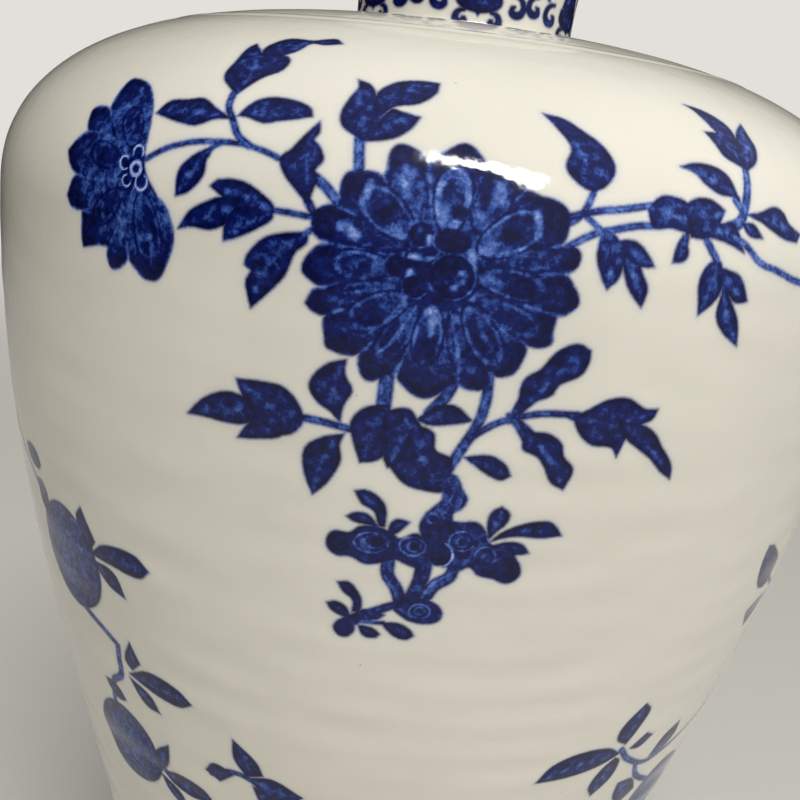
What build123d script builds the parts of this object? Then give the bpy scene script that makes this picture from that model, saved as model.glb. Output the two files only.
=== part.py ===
from build123d import *
import os

# Meiping vase: a tall porcelain vase with a high round shoulder, a short
# waisted neck and a tapered lower body on a turned foot ring.
# A vase of this size is thrown in sections. The sections meet in stepped lap
# seams, sealed inside by bands of slip, and a coil seals the base disc.
# Millimetres, +Z up, origin at the centre of the foot, on the ground.

# Body, measured on the outside
max_radius = 105.0
widest_height = 266.0
waist_radius = 64.0
waist_height = 30.0
shoulder_rise = 43.6

# How far the curve of the body keeps upright at the waist and at the widest
# place, as shares of the height between them
waist_upright_share = 0.31
belly_upright_share = 0.40

# Pull of the shoulder's curve: upwards as a share of its rise, and inwards as
# a share of the way from the neck to the widest place
shoulder_lift_share = 0.645
shoulder_spread_share = 0.57

# Walls
wall = 5.5
neck_wall = 5.3

# Neck and rolled mouth rim
neck_radius = 26.3
neck_root_round = 2.4
neck_height = 27.0
bore_root_round = 4.0
bore_length = 13.0
lip_radius = 33.4
lip_width = 8.2
lip_thickness = 6.6
lip_join_round = 1.6
neck_upright_share = 0.60
bore_upright_share = 0.45

# Foot ring and base: the foot is wider than the waist by its spread
foot_spread = 2.0
foot_width = 7.6
foot_edge_round = 2.6
recess_height = 8.6
ledge_step = 3.0
base_thickness = 6.4
foot_flare_share = 0.35

# Lap seams between the sections: how long the halves of the wall lap, and the
# room left for slip between them
lap_length = 4.2
slip_gap = 0.3
lower_seam_share = 0.29
middle_seam_share = 0.825
shoulder_seam_share = 0.60
neck_seam_share = 0.06
lip_seam_share = 0.60

# Raised rim of the seam on the shoulder, covered by the glaze
ridge_width = 3.6
ridge_height = 0.45

# Slip inside the seams, and the coil in the corner of the base
slip_width = 13.0
slip_height = 1.9
coil_width = 9.0

# All cuts run past the clay by this much
overrun = 10.0

shoulder_height = widest_height + shoulder_rise
total_height = shoulder_height + neck_height
lip_centre_radius = lip_radius - lip_width / 2
lip_centre_height = total_height - lip_thickness / 2
bore_radius = neck_radius - neck_wall
bore_start_height = shoulder_height - wall + bore_root_round
foot_radius = waist_radius + foot_spread
foot_inner_radius = foot_radius - foot_width
inner_waist_radius = waist_radius - wall
mid_foot_radius = waist_radius - wall / 2
ledge_height = recess_height + ledge_step
floor_height = recess_height + base_thickness
far_radius = max_radius + overrun
up = Vector(0, 1)


def outward(rise):
    # The wall's outward direction, square to the direction in which it rises
    return Vector(rise.Y, -rise.X)


def under_seam(seam, gap=0.0):
    # The space below a stepped seam. The step is half the wall deep. Its inner
    # half is a tongue that stands up where the wall narrows upwards, side 1, or
    # hangs down where the wall widens, side -1, so that the sections lift apart.
    place, rise, side, thickness = seam
    out = outward(rise)
    middle = place - out * (thickness / 2 - side * gap)
    step = rise * (side * lap_length + gap)
    outside = place + out * overrun
    inside = place - out * (thickness + overrun) + step
    return [
        outside,
        middle,
        middle + step,
        inside,
        (0, inside.Y),
        (0, -overrun),
        (far_radius, -overrun),
        (far_radius, outside.Y),
    ]


# Outline of the clay on the right of the axis, before the inside is taken out
with BuildSketch() as clay:
    with BuildLine():
        foot_side = Bezier(
            (foot_radius, 0),
            (waist_radius, waist_height * foot_flare_share),
            (waist_radius, waist_height),
        )
        belly_height = widest_height - waist_height
        flank = Bezier(
            (waist_radius, waist_height),
            (waist_radius, waist_height + belly_height * waist_upright_share),
            (max_radius, widest_height - belly_height * belly_upright_share),
            (max_radius, widest_height),
        )
        neck_root_radius = neck_radius + neck_root_round
        shoulder_reach = max_radius - neck_root_radius
        shoulder = Bezier(
            (max_radius, widest_height),
            (max_radius, widest_height + shoulder_rise * shoulder_lift_share),
            (neck_root_radius + shoulder_reach * shoulder_spread_share, shoulder_height),
            (neck_root_radius, shoulder_height),
        )
        neck_start_height = shoulder_height + neck_root_round
        TangentArc(shoulder @ 1, (neck_radius, neck_start_height), tangent=shoulder % 1)
        neck_rise = lip_centre_height - neck_start_height
        neck_side = Bezier(
            (neck_radius, neck_start_height),
            (neck_radius, neck_start_height + neck_rise * neck_upright_share),
            (lip_centre_radius, lip_centre_height),
        )
        Polyline(neck_side @ 1, (0, lip_centre_height), (0, 0), (foot_radius, 0))
    make_face()

# The hollow inside, open through the mouth
with BuildSketch() as hollow:
    with BuildLine():
        inner_rise = shoulder_rise - wall
        inner_reach = max_radius - wall - bore_radius - bore_root_round
        bore_end_height = bore_start_height + bore_length
        inner_lip_radius = lip_radius - lip_width
        Polyline(
            (0, floor_height),
            (inner_waist_radius, floor_height),
            (inner_waist_radius, waist_height),
        )
        Bezier(
            (inner_waist_radius, waist_height),
            (inner_waist_radius, waist_height + belly_height * waist_upright_share),
            (max_radius - wall, widest_height - belly_height * belly_upright_share),
            (max_radius - wall, widest_height),
        )
        inner_shoulder = Bezier(
            (max_radius - wall, widest_height),
            (max_radius - wall, widest_height + inner_rise * shoulder_lift_share),
            (
                bore_radius + bore_root_round + inner_reach * shoulder_spread_share,
                shoulder_height - wall,
            ),
            (bore_radius + bore_root_round, shoulder_height - wall),
        )
        TangentArc(
            inner_shoulder @ 1,
            (bore_radius, bore_start_height),
            tangent=inner_shoulder % 1,
        )
        Line((bore_radius, bore_start_height), (bore_radius, bore_end_height))
        flare_rise = lip_centre_height - bore_end_height
        Bezier(
            (bore_radius, bore_end_height),
            (bore_radius, bore_end_height + flare_rise * bore_upright_share),
            (inner_lip_radius, lip_centre_height - flare_rise * bore_upright_share),
            (inner_lip_radius, lip_centre_height),
        )
        Polyline(
            (inner_lip_radius, lip_centre_height),
            (inner_lip_radius, total_height + overrun),
            (0, total_height + overrun),
            (0, floor_height),
        )
    make_face()

# Seams from the foot to the mouth: place on the outside, direction of the wall,
# side of the tongue and thickness of the wall
foot_seam = (Vector(waist_radius, floor_height + lap_length), up, -1, wall)
lower_seam = (flank @ lower_seam_share, flank % lower_seam_share, -1, wall)
middle_seam = (flank @ middle_seam_share, flank % middle_seam_share, -1, wall)
shoulder_seam = (shoulder @ shoulder_seam_share, shoulder % shoulder_seam_share, 1, wall)
neck_seam = (neck_side @ neck_seam_share, up, 1, neck_wall)
lip_seam = (neck_side @ lip_seam_share, up, -1, neck_wall)

# The wall of the whole vase, in section
ridge_turn = shoulder_seam[1].get_signed_angle(Vector(1, 0), Vector(0, 0, -1))
with BuildSketch() as wall_section:
    add(clay.sketch)
    with Locations((lip_centre_radius, lip_centre_height)):
        Ellipse(lip_width / 2, lip_thickness / 2)
    add(hollow.sketch, mode=Mode.SUBTRACT)
    above_seam = wall_section.vertices().filter_by(lambda v: v.Y > lip_seam[0].Y)
    under_lip = above_seam.filter_by(lambda v: v.X < lip_centre_radius)
    fillet(under_lip.sort_by(Axis.Y)[0], lip_join_round)
    with Locations(shoulder_seam[0] - shoulder_seam[1] * ridge_width / 2):
        Ellipse(ridge_width / 2, ridge_height, rotation=ridge_turn)

os.makedirs("parts", exist_ok=True)

# Base disc: its lower step drops into the foot ring, and its rim lies on the
# ring's ledge
with BuildPart() as base_disc:
    with BuildSketch(Plane.XZ):
        with BuildLine():
            Polyline(
                (0, recess_height),
                (foot_inner_radius - slip_gap, recess_height),
                (foot_inner_radius - slip_gap, ledge_height),
                (mid_foot_radius - slip_gap, ledge_height),
                (mid_foot_radius - slip_gap, floor_height),
                (0, floor_height),
                close=True,
            )
        make_face()
    revolve(axis=Axis.Z)
base_disc.part.label = "base_disc"
export_step(base_disc.part, "parts/base_disc.step")

# Foot ring: turned foot with a bare rounded rim, a ledge for the base disc and
# an outer lip that the body stands in
with BuildPart() as foot_ring:
    with BuildSketch(Plane.XZ) as foot_section:
        add(clay.sketch)
        with BuildLine():
            Polyline(*under_seam(foot_seam), close=True)
        make_face(mode=Mode.INTERSECT)
        with BuildLine():
            Polyline(
                (0, -overrun),
                (foot_inner_radius, -overrun),
                (foot_inner_radius, ledge_height),
                (mid_foot_radius, ledge_height),
                (mid_foot_radius, floor_height),
                (0, floor_height),
                close=True,
            )
        make_face(mode=Mode.SUBTRACT)
        fillet(foot_section.vertices().group_by(Axis.Y)[0], foot_edge_round)
    revolve(axis=Axis.Z)
foot_ring.part.label = "foot_ring"
export_step(foot_ring.part, "parts/foot_ring.step")

# Lower body: from the foot ring up to the first seam, narrow at the waist
with BuildPart() as lower_body:
    with BuildSketch(Plane.XZ):
        add(wall_section.sketch)
        with BuildLine():
            Polyline(*under_seam(lower_seam), close=True)
        make_face(mode=Mode.INTERSECT)
        with BuildLine():
            Polyline(*under_seam(foot_seam, slip_gap), close=True)
        make_face(mode=Mode.SUBTRACT)
    revolve(axis=Axis.Z)
lower_body.part.label = "lower_body"
export_step(lower_body.part, "parts/lower_body.step")

# Middle body: the long widening stretch
with BuildPart() as middle_body:
    with BuildSketch(Plane.XZ):
        add(wall_section.sketch)
        with BuildLine():
            Polyline(*under_seam(middle_seam), close=True)
        make_face(mode=Mode.INTERSECT)
        with BuildLine():
            Polyline(*under_seam(lower_seam, slip_gap), close=True)
        make_face(mode=Mode.SUBTRACT)
    revolve(axis=Axis.Z)
middle_body.part.label = "middle_body"
export_step(middle_body.part, "parts/middle_body.step")

# Upper body: the widest place and the turn of the shoulder, up to the raised
# rim that carries the dome
with BuildPart() as upper_body:
    with BuildSketch(Plane.XZ):
        add(wall_section.sketch)
        with BuildLine():
            Polyline(*under_seam(shoulder_seam), close=True)
        make_face(mode=Mode.INTERSECT)
        with BuildLine():
            Polyline(*under_seam(middle_seam, slip_gap), close=True)
        make_face(mode=Mode.SUBTRACT)
    revolve(axis=Axis.Z)
upper_body.part.label = "upper_body"
export_step(upper_body.part, "parts/upper_body.step")

# Shoulder dome: the flat top of the shoulder with a short upstand for the neck
with BuildPart() as shoulder_dome:
    with BuildSketch(Plane.XZ):
        add(wall_section.sketch)
        with BuildLine():
            Polyline(*under_seam(neck_seam), close=True)
        make_face(mode=Mode.INTERSECT)
        with BuildLine():
            Polyline(*under_seam(shoulder_seam, slip_gap), close=True)
        make_face(mode=Mode.SUBTRACT)
    revolve(axis=Axis.Z)
shoulder_dome.part.label = "shoulder_dome"
export_step(shoulder_dome.part, "parts/shoulder_dome.step")

# Neck: short and waisted, with a straight bore
with BuildPart() as neck:
    with BuildSketch(Plane.XZ):
        add(wall_section.sketch)
        with BuildLine():
            Polyline(*under_seam(lip_seam), close=True)
        make_face(mode=Mode.INTERSECT)
        with BuildLine():
            Polyline(*under_seam(neck_seam, slip_gap), close=True)
        make_face(mode=Mode.SUBTRACT)
    revolve(axis=Axis.Z)
neck.part.label = "neck"
export_step(neck.part, "parts/neck.step")

# Mouth rim: the flared top of the neck, rolled into a thick round lip
with BuildPart() as mouth_rim:
    with BuildSketch(Plane.XZ):
        add(wall_section.sketch)
        with BuildLine():
            Polyline(*under_seam(lip_seam, slip_gap), close=True)
        make_face(mode=Mode.SUBTRACT)
    revolve(axis=Axis.Z)
mouth_rim.part.label = "mouth_rim"
export_step(mouth_rim.part, "parts/mouth_rim.step")

# Base coil: a roll of clay pressed into the corner of the floor, hollowed by a
# finger
with BuildPart() as base_coil:
    with BuildSketch(Plane.XZ):
        with BuildLine():
            coil_foot = (inner_waist_radius - coil_width, floor_height)
            coil_top = (inner_waist_radius, floor_height + coil_width)
            Polyline(coil_foot, (inner_waist_radius, floor_height), coil_top)
            RadiusArc(coil_foot, coil_top, -coil_width)
        make_face()
    revolve(axis=Axis.Z)
base_coil.part.label = "base_coil"
export_step(base_coil.part, "parts/base_coil.step")

# Slip bands: low rounded bands smeared over the inside of each body seam, where
# the tongue ends
slip_seams = {
    "lower_slip": lower_seam,
    "middle_slip": middle_seam,
    "shoulder_slip": shoulder_seam,
}
for label, seam in slip_seams.items():
    place, rise, side, thickness = seam
    tongue_end = place - outward(rise) * thickness + rise * side * lap_length
    with BuildPart() as slip_band:
        with BuildSketch(Plane.XZ):
            with Locations(tongue_end):
                turn = rise.get_signed_angle(Vector(1, 0), Vector(0, 0, -1))
                Ellipse(slip_width / 2, slip_height, rotation=turn)
            add(hollow.sketch, mode=Mode.INTERSECT)
        revolve(axis=Axis.Z)
    slip_band.part.label = label
    export_step(slip_band.part, f"parts/{label}.step")
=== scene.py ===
import math

import bpy
import numpy as np
from mathutils import Matrix, Vector


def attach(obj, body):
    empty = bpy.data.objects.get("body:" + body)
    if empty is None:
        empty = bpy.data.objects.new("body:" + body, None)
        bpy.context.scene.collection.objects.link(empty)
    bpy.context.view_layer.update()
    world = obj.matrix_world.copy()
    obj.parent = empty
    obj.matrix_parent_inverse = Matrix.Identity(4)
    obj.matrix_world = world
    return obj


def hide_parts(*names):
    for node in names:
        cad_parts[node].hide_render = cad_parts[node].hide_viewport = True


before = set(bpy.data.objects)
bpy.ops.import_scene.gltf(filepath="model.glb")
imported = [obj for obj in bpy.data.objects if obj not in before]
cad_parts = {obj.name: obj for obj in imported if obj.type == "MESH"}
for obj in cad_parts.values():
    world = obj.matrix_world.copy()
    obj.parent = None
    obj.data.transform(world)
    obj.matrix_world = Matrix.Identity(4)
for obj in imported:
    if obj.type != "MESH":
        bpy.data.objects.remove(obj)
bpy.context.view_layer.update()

mm = 0.001
turnDeg = math.radians(1)

# All the shapes below are in millimetres, as in the CAD source. The meshes are
# made in metres.
body = {
    "maxRadius": 105.0,
    "widestHeight": 266.0,
    "waistRadius": 64.0,
    "waistHeight": 30.0,
    "shoulderRise": 43.6,
    "wall": 5.5,
    "floorTop": 15.0,
    "footRadius": 66.0,
    "neckRadius": 26.3,
    "neckWall": 5.3,
    "neckRound": 2.4,
    "boreRound": 4.0,
    "boreLength": 13.0,
    "lipRadius": 33.4,
    "lipWidth": 8.2,
    "lipThickness": 6.6,
    "totalHeight": 336.6,
    "lap": 4.2,
    "gap": 0.3,
    "ridgeWidth": 3.6,
    "ridgeShown": 0.16,  # softened by the glaze that fills its foot
}
# How far the handles of each curve of the outline reach along it
curveShares = {
    "foot": 0.35,
    "waist": 0.31,
    "belly": 0.40,
    "shoulderRise": 0.645,
    "shoulderReach": 0.57,
    "neck": 0.60,
    "flare": 0.45,
}
# Where the seams lie, as shares of the length of their curve
seamShares = {"lower": 0.29, "middle": 0.825, "shoulder": 0.60, "neck": 0.06, "lip": 0.60}
columns = 288  # columns of the skins at their coarsest
finest = 8  # each coarse cell splits up to this many times along an edge


def bezier(points, count=1500):
    p = np.array(points, float)
    t = np.linspace(0, 1, count)[:, None]
    if len(p) == 3:
        return (1 - t) ** 2 * p[0] + 2 * (1 - t) * t * p[1] + t * t * p[2]
    return (
        (1 - t) ** 3 * p[0]
        + 3 * (1 - t) ** 2 * t * p[1]
        + 3 * (1 - t) * t * t * p[2]
        + t**3 * p[3]
    )


def quarter(centre, radius, start, end, count=60):
    a = np.linspace(start, end, count) * turnDeg
    return np.array(centre) + radius * np.stack([np.cos(a), np.sin(a)], 1)


def lengthAlong(line):
    return np.concatenate([[0], np.cumsum(np.hypot(*np.diff(line, axis=0).T))])


class Profile:
    # A curve in the half plane (radius, height), read by length along it
    def __init__(self, *parts):
        self.line = np.vstack([parts[0]] + [part[1:] for part in parts[1:]])
        self.s = lengthAlong(self.line)

    def at(self, s):
        return (
            np.interp(s, self.s, self.line[:, 0]),
            np.interp(s, self.s, self.line[:, 1]),
        )

    def where(self, radius, height):
        d = np.hypot(self.line[:, 0] - radius, self.line[:, 1] - height)
        return float(self.s[d.argmin()])

    def meets(self, start, direction):
        # Length along the curve where a straight line from start crosses it
        rel = self.line - np.array(start)
        side = rel[:, 0] * direction[1] - rel[:, 1] * direction[0]
        cross = np.nonzero(side[:-1] * side[1:] <= 0)[0]
        near = cross[np.hypot(*rel[cross].T).argmin()]
        share = side[near] / (side[near] - side[near + 1] + 1e-12)
        return float(self.s[near] + share * (self.s[near + 1] - self.s[near]))


b = body
bellyRise = b["widestHeight"] - b["waistHeight"]
shoulderTop = b["widestHeight"] + b["shoulderRise"]
rootRadius = b["neckRadius"] + b["neckRound"]
lipCentre = (b["lipRadius"] - b["lipWidth"] / 2, b["totalHeight"] - b["lipThickness"] / 2)
neckStart = shoulderTop + b["neckRound"]


def flank(waistRadius, fullRadius):
    # From the waist up to the widest place, for the outside or the inside
    return [
        (waistRadius, b["waistHeight"]),
        (waistRadius, b["waistHeight"] + bellyRise * curveShares["waist"]),
        (fullRadius, b["widestHeight"] - bellyRise * curveShares["belly"]),
        (fullRadius, b["widestHeight"]),
    ]


def shoulder(fullRadius, rise, endRadius):
    # From the widest place in to the root of the neck
    top = b["widestHeight"] + rise
    return [
        (fullRadius, b["widestHeight"]),
        (fullRadius, b["widestHeight"] + rise * curveShares["shoulderRise"]),
        (endRadius + (fullRadius - endRadius) * curveShares["shoulderReach"], top),
        (endRadius, top),
    ]


flankLine = flank(b["waistRadius"], b["maxRadius"])
shoulderLine = shoulder(b["maxRadius"], b["shoulderRise"], rootRadius)
neckLine = [
    (b["neckRadius"], neckStart),
    (b["neckRadius"], neckStart + (lipCentre[1] - neckStart) * curveShares["neck"]),
    lipCentre,
]
outer = Profile(
    bezier([
        (b["footRadius"], 0),
        (b["waistRadius"], b["waistHeight"] * curveShares["foot"]),
        flankLine[0],
    ]),
    bezier(flankLine),
    bezier(shoulderLine),
    quarter((rootRadius, neckStart), b["neckRound"], 270, 180),
    bezier(neckLine),
)
widest = outer.where(b["maxRadius"], b["widestHeight"])

innerWaist = b["waistRadius"] - b["wall"]
innerMax = b["maxRadius"] - b["wall"]
boreRadius = b["neckRadius"] - b["neckWall"]
boreRoot = boreRadius + b["boreRound"]
boreStart = shoulderTop - b["wall"] + b["boreRound"]
boreEnd = boreStart + b["boreLength"]
flareReach = (lipCentre[1] - boreEnd) * curveShares["flare"]
innerLip = b["lipRadius"] - b["lipWidth"]
inner = Profile(
    np.array([(innerWaist, b["floorTop"]), (innerWaist, b["waistHeight"])]),
    bezier(flank(innerWaist, innerMax)),
    bezier(shoulder(innerMax, b["shoulderRise"] - b["wall"], boreRoot)),
    quarter((boreRoot, boreStart), b["boreRound"], 270, 180),
    np.array([(boreRadius, boreStart), (boreRadius, boreEnd)]),
    bezier([
        (boreRadius, boreEnd),
        (boreRadius, boreEnd + flareReach),
        (innerLip, lipCentre[1] - flareReach),
        (innerLip, lipCentre[1]),
    ]),
)


def seamOn(line, share, side, thickness, upright=False):
    # A stepped lap seam, at a share of the line's length: its place outside,
    # direction of the wall, side of the tongue and thickness of the wall
    p = bezier(line, 4001)
    run = lengthAlong(p)
    i = int(np.searchsorted(run, share * run[-1]))
    rise = p[min(i + 1, 4000)] - p[max(i - 1, 0)]
    rise = np.array([0.0, 1.0]) if upright else rise / np.hypot(*rise)
    return {"place": p[i], "rise": rise, "side": side, "thickness": thickness}


seams = {
    "foot": {
        "place": np.array([b["waistRadius"], b["floorTop"] + b["lap"]]),
        "rise": np.array([0.0, 1.0]),
        "side": -1,
        "thickness": b["wall"],
    },
    "lower": seamOn(flankLine, seamShares["lower"], -1, b["wall"]),
    "middle": seamOn(flankLine, seamShares["middle"], -1, b["wall"]),
    "shoulder": seamOn(shoulderLine, seamShares["shoulder"], 1, b["wall"]),
    "neck": seamOn(neckLine, seamShares["neck"], 1, b["neckWall"], upright=True),
    "lip": seamOn(neckLine, seamShares["lip"], -1, b["neckWall"], upright=True),
}
for seam in seams.values():
    seam["s"] = outer.where(*seam["place"])


def lapFaces(seam, gap):
    # Corners of the lap from the outside in, and where it ends on the inner wall
    out = np.array([seam["rise"][1], -seam["rise"][0]])
    middle = seam["place"] - out * (seam["thickness"] / 2 - seam["side"] * gap)
    tip = middle + seam["rise"] * (seam["side"] * b["lap"] + gap)
    return [middle, tip], inner.meets(tip, -out)


# Marks of the throwing under the glaze: how deep, how far apart along the wall,
# how many at most go round, and how many waves are summed
throwingMarks = [
    {"depth": 0.20, "pitch": 11.0, "across": 4, "seed": 5, "waves": 7},
    {"depth": 0.12, "pitch": 24.0, "across": 8, "seed": 9, "waves": 7},
    {"depth": 0.27, "pitch": 10.0, "across": 26, "seed": 21, "waves": 13},
]
glazeSurface = {
    "sunk": 0.22,  # so that no mark stands out past the CAD wall
    "marksFadeFrom": -60,  # along the wall from the widest place
    "marksFadeTo": 20,
    "marksLeftShare": 0.20,
    "seamSwell": 0.12,
    "seamSwellWidth": 3.2,
}


def unevenRings(theta, s, mark):
    # Soft uneven rings, as from a thrower's fingers: a sum of slow waves
    rng = np.random.default_rng(mark["seed"])
    total = np.zeros(np.broadcast(theta, s).shape)
    for _ in range(mark["waves"]):
        turns = rng.integers(0, mark["across"] + 1)
        length = mark["pitch"] * rng.uniform(0.7, 1.5)
        phase = rng.uniform(0, 2 * math.pi, 2)
        around = np.cos(turns * theta + phase[0])
        total = total + around * np.sin(2 * math.pi * s / length + phase[1])
    return mark["depth"] * (total / mark["waves"])


def smooth(low, high, value):
    t = np.clip((value - low) / (high - low), 0, 1)
    return t * t * (3 - 2 * t)


def surfaceHeight(theta, s):
    # How far the glazed surface stands in (below zero) or out from the CAD wall
    look = glazeSurface
    marks = sum(unevenRings(theta, s, mark) for mark in throwingMarks)
    below = smooth(look["marksFadeTo"], look["marksFadeFrom"], s - widest)
    share = look["marksLeftShare"] + (1 - look["marksLeftShare"]) * below
    neckFade = smooth(seams["neck"]["s"] + 2, seams["shoulder"]["s"] - 4, s)
    base = (marks * share - look["sunk"]) * neckFade
    fromSeam = (s - seams["middle"]["s"]) / look["seamSwellWidth"]
    base = base + look["seamSwell"] * np.exp(-(fromSeam**2))
    ridgeMid = seams["shoulder"]["s"] - b["ridgeWidth"] / 2
    across = np.clip(np.abs(s - ridgeMid) / (b["ridgeWidth"] / 2), 0, 1)
    return base + b["ridgeShown"] * np.cos(across * math.pi / 2) ** 1.3


def surfacePoint(theta, s):
    r, z = outer.at(s)
    step = 0.25
    r2, z2 = outer.at(s + step)
    r1, z1 = outer.at(s - step)
    length = np.hypot(r2 - r1, z2 - z1)
    out = surfaceHeight(theta, s)
    rr = r + out * (z2 - z1) / length
    zz = z - out * (r2 - r1) / length
    return np.stack([rr * np.cos(theta), rr * np.sin(theta), zz], -1)


def surfaceNormal(theta, s):
    step = 0.2
    r, _ = outer.at(s)
    alongS = surfacePoint(theta, s + step) - surfacePoint(theta, s - step)
    alongT = surfacePoint(theta + step / r, s) - surfacePoint(theta - step / r, s)
    n = np.cross(alongT, alongS)
    return n / np.linalg.norm(n, axis=-1, keepdims=True)


print("profile ready, widest at", round(widest, 1), "mm along it")


# Painting kit: how dark each part of a stroke is, 0 pale to 1 dark
brush = {
    "leaf": 0.84,
    "leafVein": 0.17,
    "leafRib": 0.19,
    "leafEdge": 0.10,
    "petal": 0.52,
    "petalTip": 0.34,
    "petalEdge": 0.16,
    "petalLine": 0.42,
    "ovalLine": 0.84,
    "veinPitch": 3.3,  # in millimetres, as those below
    "petalRim": 0.42,
    "softEdge": 0.14,
    "margin": 2.2,  # round a motif, where the distance to it still counts
    "ribWidths": (0.9, 1.1, 0.3),  # at the root, halfway and at the tip
}
# What a point of the surface says where nothing is painted near it
bare = {"paint": -3.0, "tone": 0.8, "shade": 0.0}


def softLine(points, closed=True, steps=5, cornerTurn=68):
    # A curve through the points, which keeps its sharp corners
    p = np.array(points, float)
    before = np.roll(p, 1, 0)
    after = np.roll(p, -1, 0)
    if not closed:
        before[0] = p[0] * 2 - p[1]
        after[-1] = p[-1] * 2 - p[-2]
    a = p - before
    c = after - p
    cross = a[:, 0] * c[:, 1] - a[:, 1] * c[:, 0]
    turn = np.abs(np.degrees(np.arctan2(cross, (a * c).sum(1))))
    tangent = after - before
    tangent = tangent / np.maximum(np.hypot(*tangent.T), 1e-9)[:, None]
    made = []
    last = len(p) if closed else len(p) - 1
    for i in range(last):
        j = (i + 1) % len(p)
        chord = p[j] - p[i]
        size = np.hypot(*chord)
        m0 = chord if turn[i] > cornerTurn else tangent[i] * size
        m1 = chord if turn[j] > cornerTurn else tangent[j] * size
        t = np.linspace(0, 1, steps, endpoint=False)[:, None]
        made.append(
            (2 * t**3 - 3 * t**2 + 1) * p[i]
            + (t**3 - 2 * t**2 + t) * m0
            + (3 * t**2 - 2 * t**3) * p[j]
            + (t**3 - t**2) * m1
        )
    if not closed:
        made.append(p[-1:])
    return np.vstack(made)


def insideBy(x, y, loop):
    # Distance to a closed outline, above zero inside it
    best = np.full(x.shape, 1e9)
    within = np.zeros(x.shape, bool)
    for (ax, ay), (bx, by) in zip(loop, np.roll(loop, -1, 0)):
        ex, ey = bx - ax, by - ay
        wx, wy = x - ax, y - ay
        t = np.clip((wx * ex + wy * ey) / (ex * ex + ey * ey + 1e-12), 0, 1)
        best = np.minimum(best, (wx - t * ex) ** 2 + (wy - t * ey) ** 2)
        if ay != by:
            within ^= ((ay > y) != (by > y)) & (x < ex * (y - ay) / ey + ax)
    best = np.sqrt(best)
    return np.where(within, best, -best)


def alongLine(x, y, line, widths):
    # Distance inside a stroke of changing width, and how far along it, 0 to 1
    best = np.full(x.shape, -1e9)
    share = np.zeros(x.shape)
    count = len(line) - 1
    for i in range(count):
        ex, ey = line[i + 1] - line[i]
        wx, wy = x - line[i, 0], y - line[i, 1]
        t = np.clip((wx * ex + wy * ey) / (ex * ex + ey * ey + 1e-12), 0, 1)
        k = (i + t) / count
        half = 0.5 * np.interp(k, np.linspace(0, 1, len(widths)), widths)
        d = half - np.hypot(wx - t * ex, wy - t * ey)
        better = d > best
        best = np.where(better, d, best)
        share = np.where(better, k, share)
    return best, share


def boxOf(points, margin):
    p = np.array(points, float)
    return (p[:, 0].min() - margin, p[:, 0].max() + margin,
            p[:, 1].min() - margin, p[:, 1].max() + margin)


def leaf(*points, deep=0.0):
    # A leaf or lobe: dark edge, a washed midrib and slanting veins
    loop = softLine(points)
    p = np.array(points, float)
    gaps = np.hypot(p[:, None, 0] - p[None, :, 0], p[:, None, 1] - p[None, :, 1])
    i, j = np.unravel_index(gaps.argmax(), gaps.shape)
    middle = loop.mean(0) * 2 - (p[i] + p[j]) / 2
    rib = bezier([p[i], middle, p[j]], 9)
    length = gaps.max()

    def draw(x, v):
        d = insideBy(x, v, loop)
        onRib, share = alongLine(x, v, rib, brush["ribWidths"])
        veins = 0.5 + 0.5 * np.cos((share * length + onRib * 0.9) * 2 * math.pi / brush["veinPitch"])
        tone = brush["leaf"] + deep - brush["leafVein"] * veins * smooth(0.2, 1.6, d)
        tone = tone - brush["leafRib"] * smooth(-0.7, 0.5, onRib)
        return d, tone + brush["leafEdge"] * (1 - smooth(0.3, 1.3, d))

    return {"box": boxOf(loop, brush["margin"]), "draw": draw}


def stem(width, *points, tone=0.44, edge=0.20):
    # A stroke with darker edges. width is one number, or several along it.
    line = softLine(points, False)
    widths = width if isinstance(width, tuple) else (width, width)

    def draw(x, v):
        d, _ = alongLine(x, v, line, widths)
        return d, tone + edge * (1 - smooth(0.0, 0.62, d))

    return {"box": boxOf(line, brush["margin"] + max(widths)), "draw": draw}


def petal(centre, *points, deep=0.0):
    # A petal: pale line round it, dark just inside that, lighter to its root
    loop = softLine(points)
    far = np.hypot(loop[:, 0] - centre[0], loop[:, 1] - centre[1]).max()
    rim = brush["petalRim"]

    def draw(x, v):
        d = insideBy(x, v, loop)
        out = np.hypot(x - centre[0], v - centre[1]) / far
        tone = brush["petal"] + deep + brush["petalTip"] * smooth(0.62, 0.92, out)
        inEdge = 1 - smooth(rim + 0.6, rim + 1.6, d)
        tone = tone + brush["petalEdge"] * inEdge * smooth(0.5, 0.9, out)
        pale = (1 - smooth(rim - 0.24, rim + 0.30, d)) * (1 - 0.5 * smooth(0.8, 1.0, out))
        return d, tone * (1 - pale) + brush["petalLine"] * pale

    return {"box": boxOf(loop, brush["margin"]), "draw": draw}


def ovalPetal(root, tip, width, core=0.80, band=0.36, bandWidth=1.0, rootTone=0.52):
    # An inner petal from its root to its tip: a thin dark line, a pale band
    # inside it and a dark mottled heart that lightens to the root
    a, c = np.array(root, float), np.array(tip, float)
    length = np.hypot(*(c - a))
    way = (c - a) / length
    middle = (a + c) / 2
    box = boxOf([root, tip], width / 2 + 1.5)

    def draw(x, v):
        dx, dv = x - middle[0], v - middle[1]
        along = (dx * way[0] + dv * way[1]) / (length / 2)
        across = (dv * way[0] - dx * way[1]) / (width / 2) * (1.15 - 0.20 * along)
        rr = np.sqrt(along**2 + across**2)
        d = (1 - rr) * width / 2
        tone = core + (rootTone - core) * smooth(0.2, -0.8, along)
        inBand = smooth(0.18, 0.62, d) * (1 - smooth(bandWidth - 0.2, bandWidth + 0.35, d))
        inBand = inBand * (1 - 0.25 * smooth(0.1, 0.9, along))
        tone = tone * (1 - inBand) + band * inBand
        edge = 1 - smooth(0.05, 0.60, d)
        return d, tone * (1 - edge) + brush["ovalLine"] * edge

    return {"box": box, "draw": draw}


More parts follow.
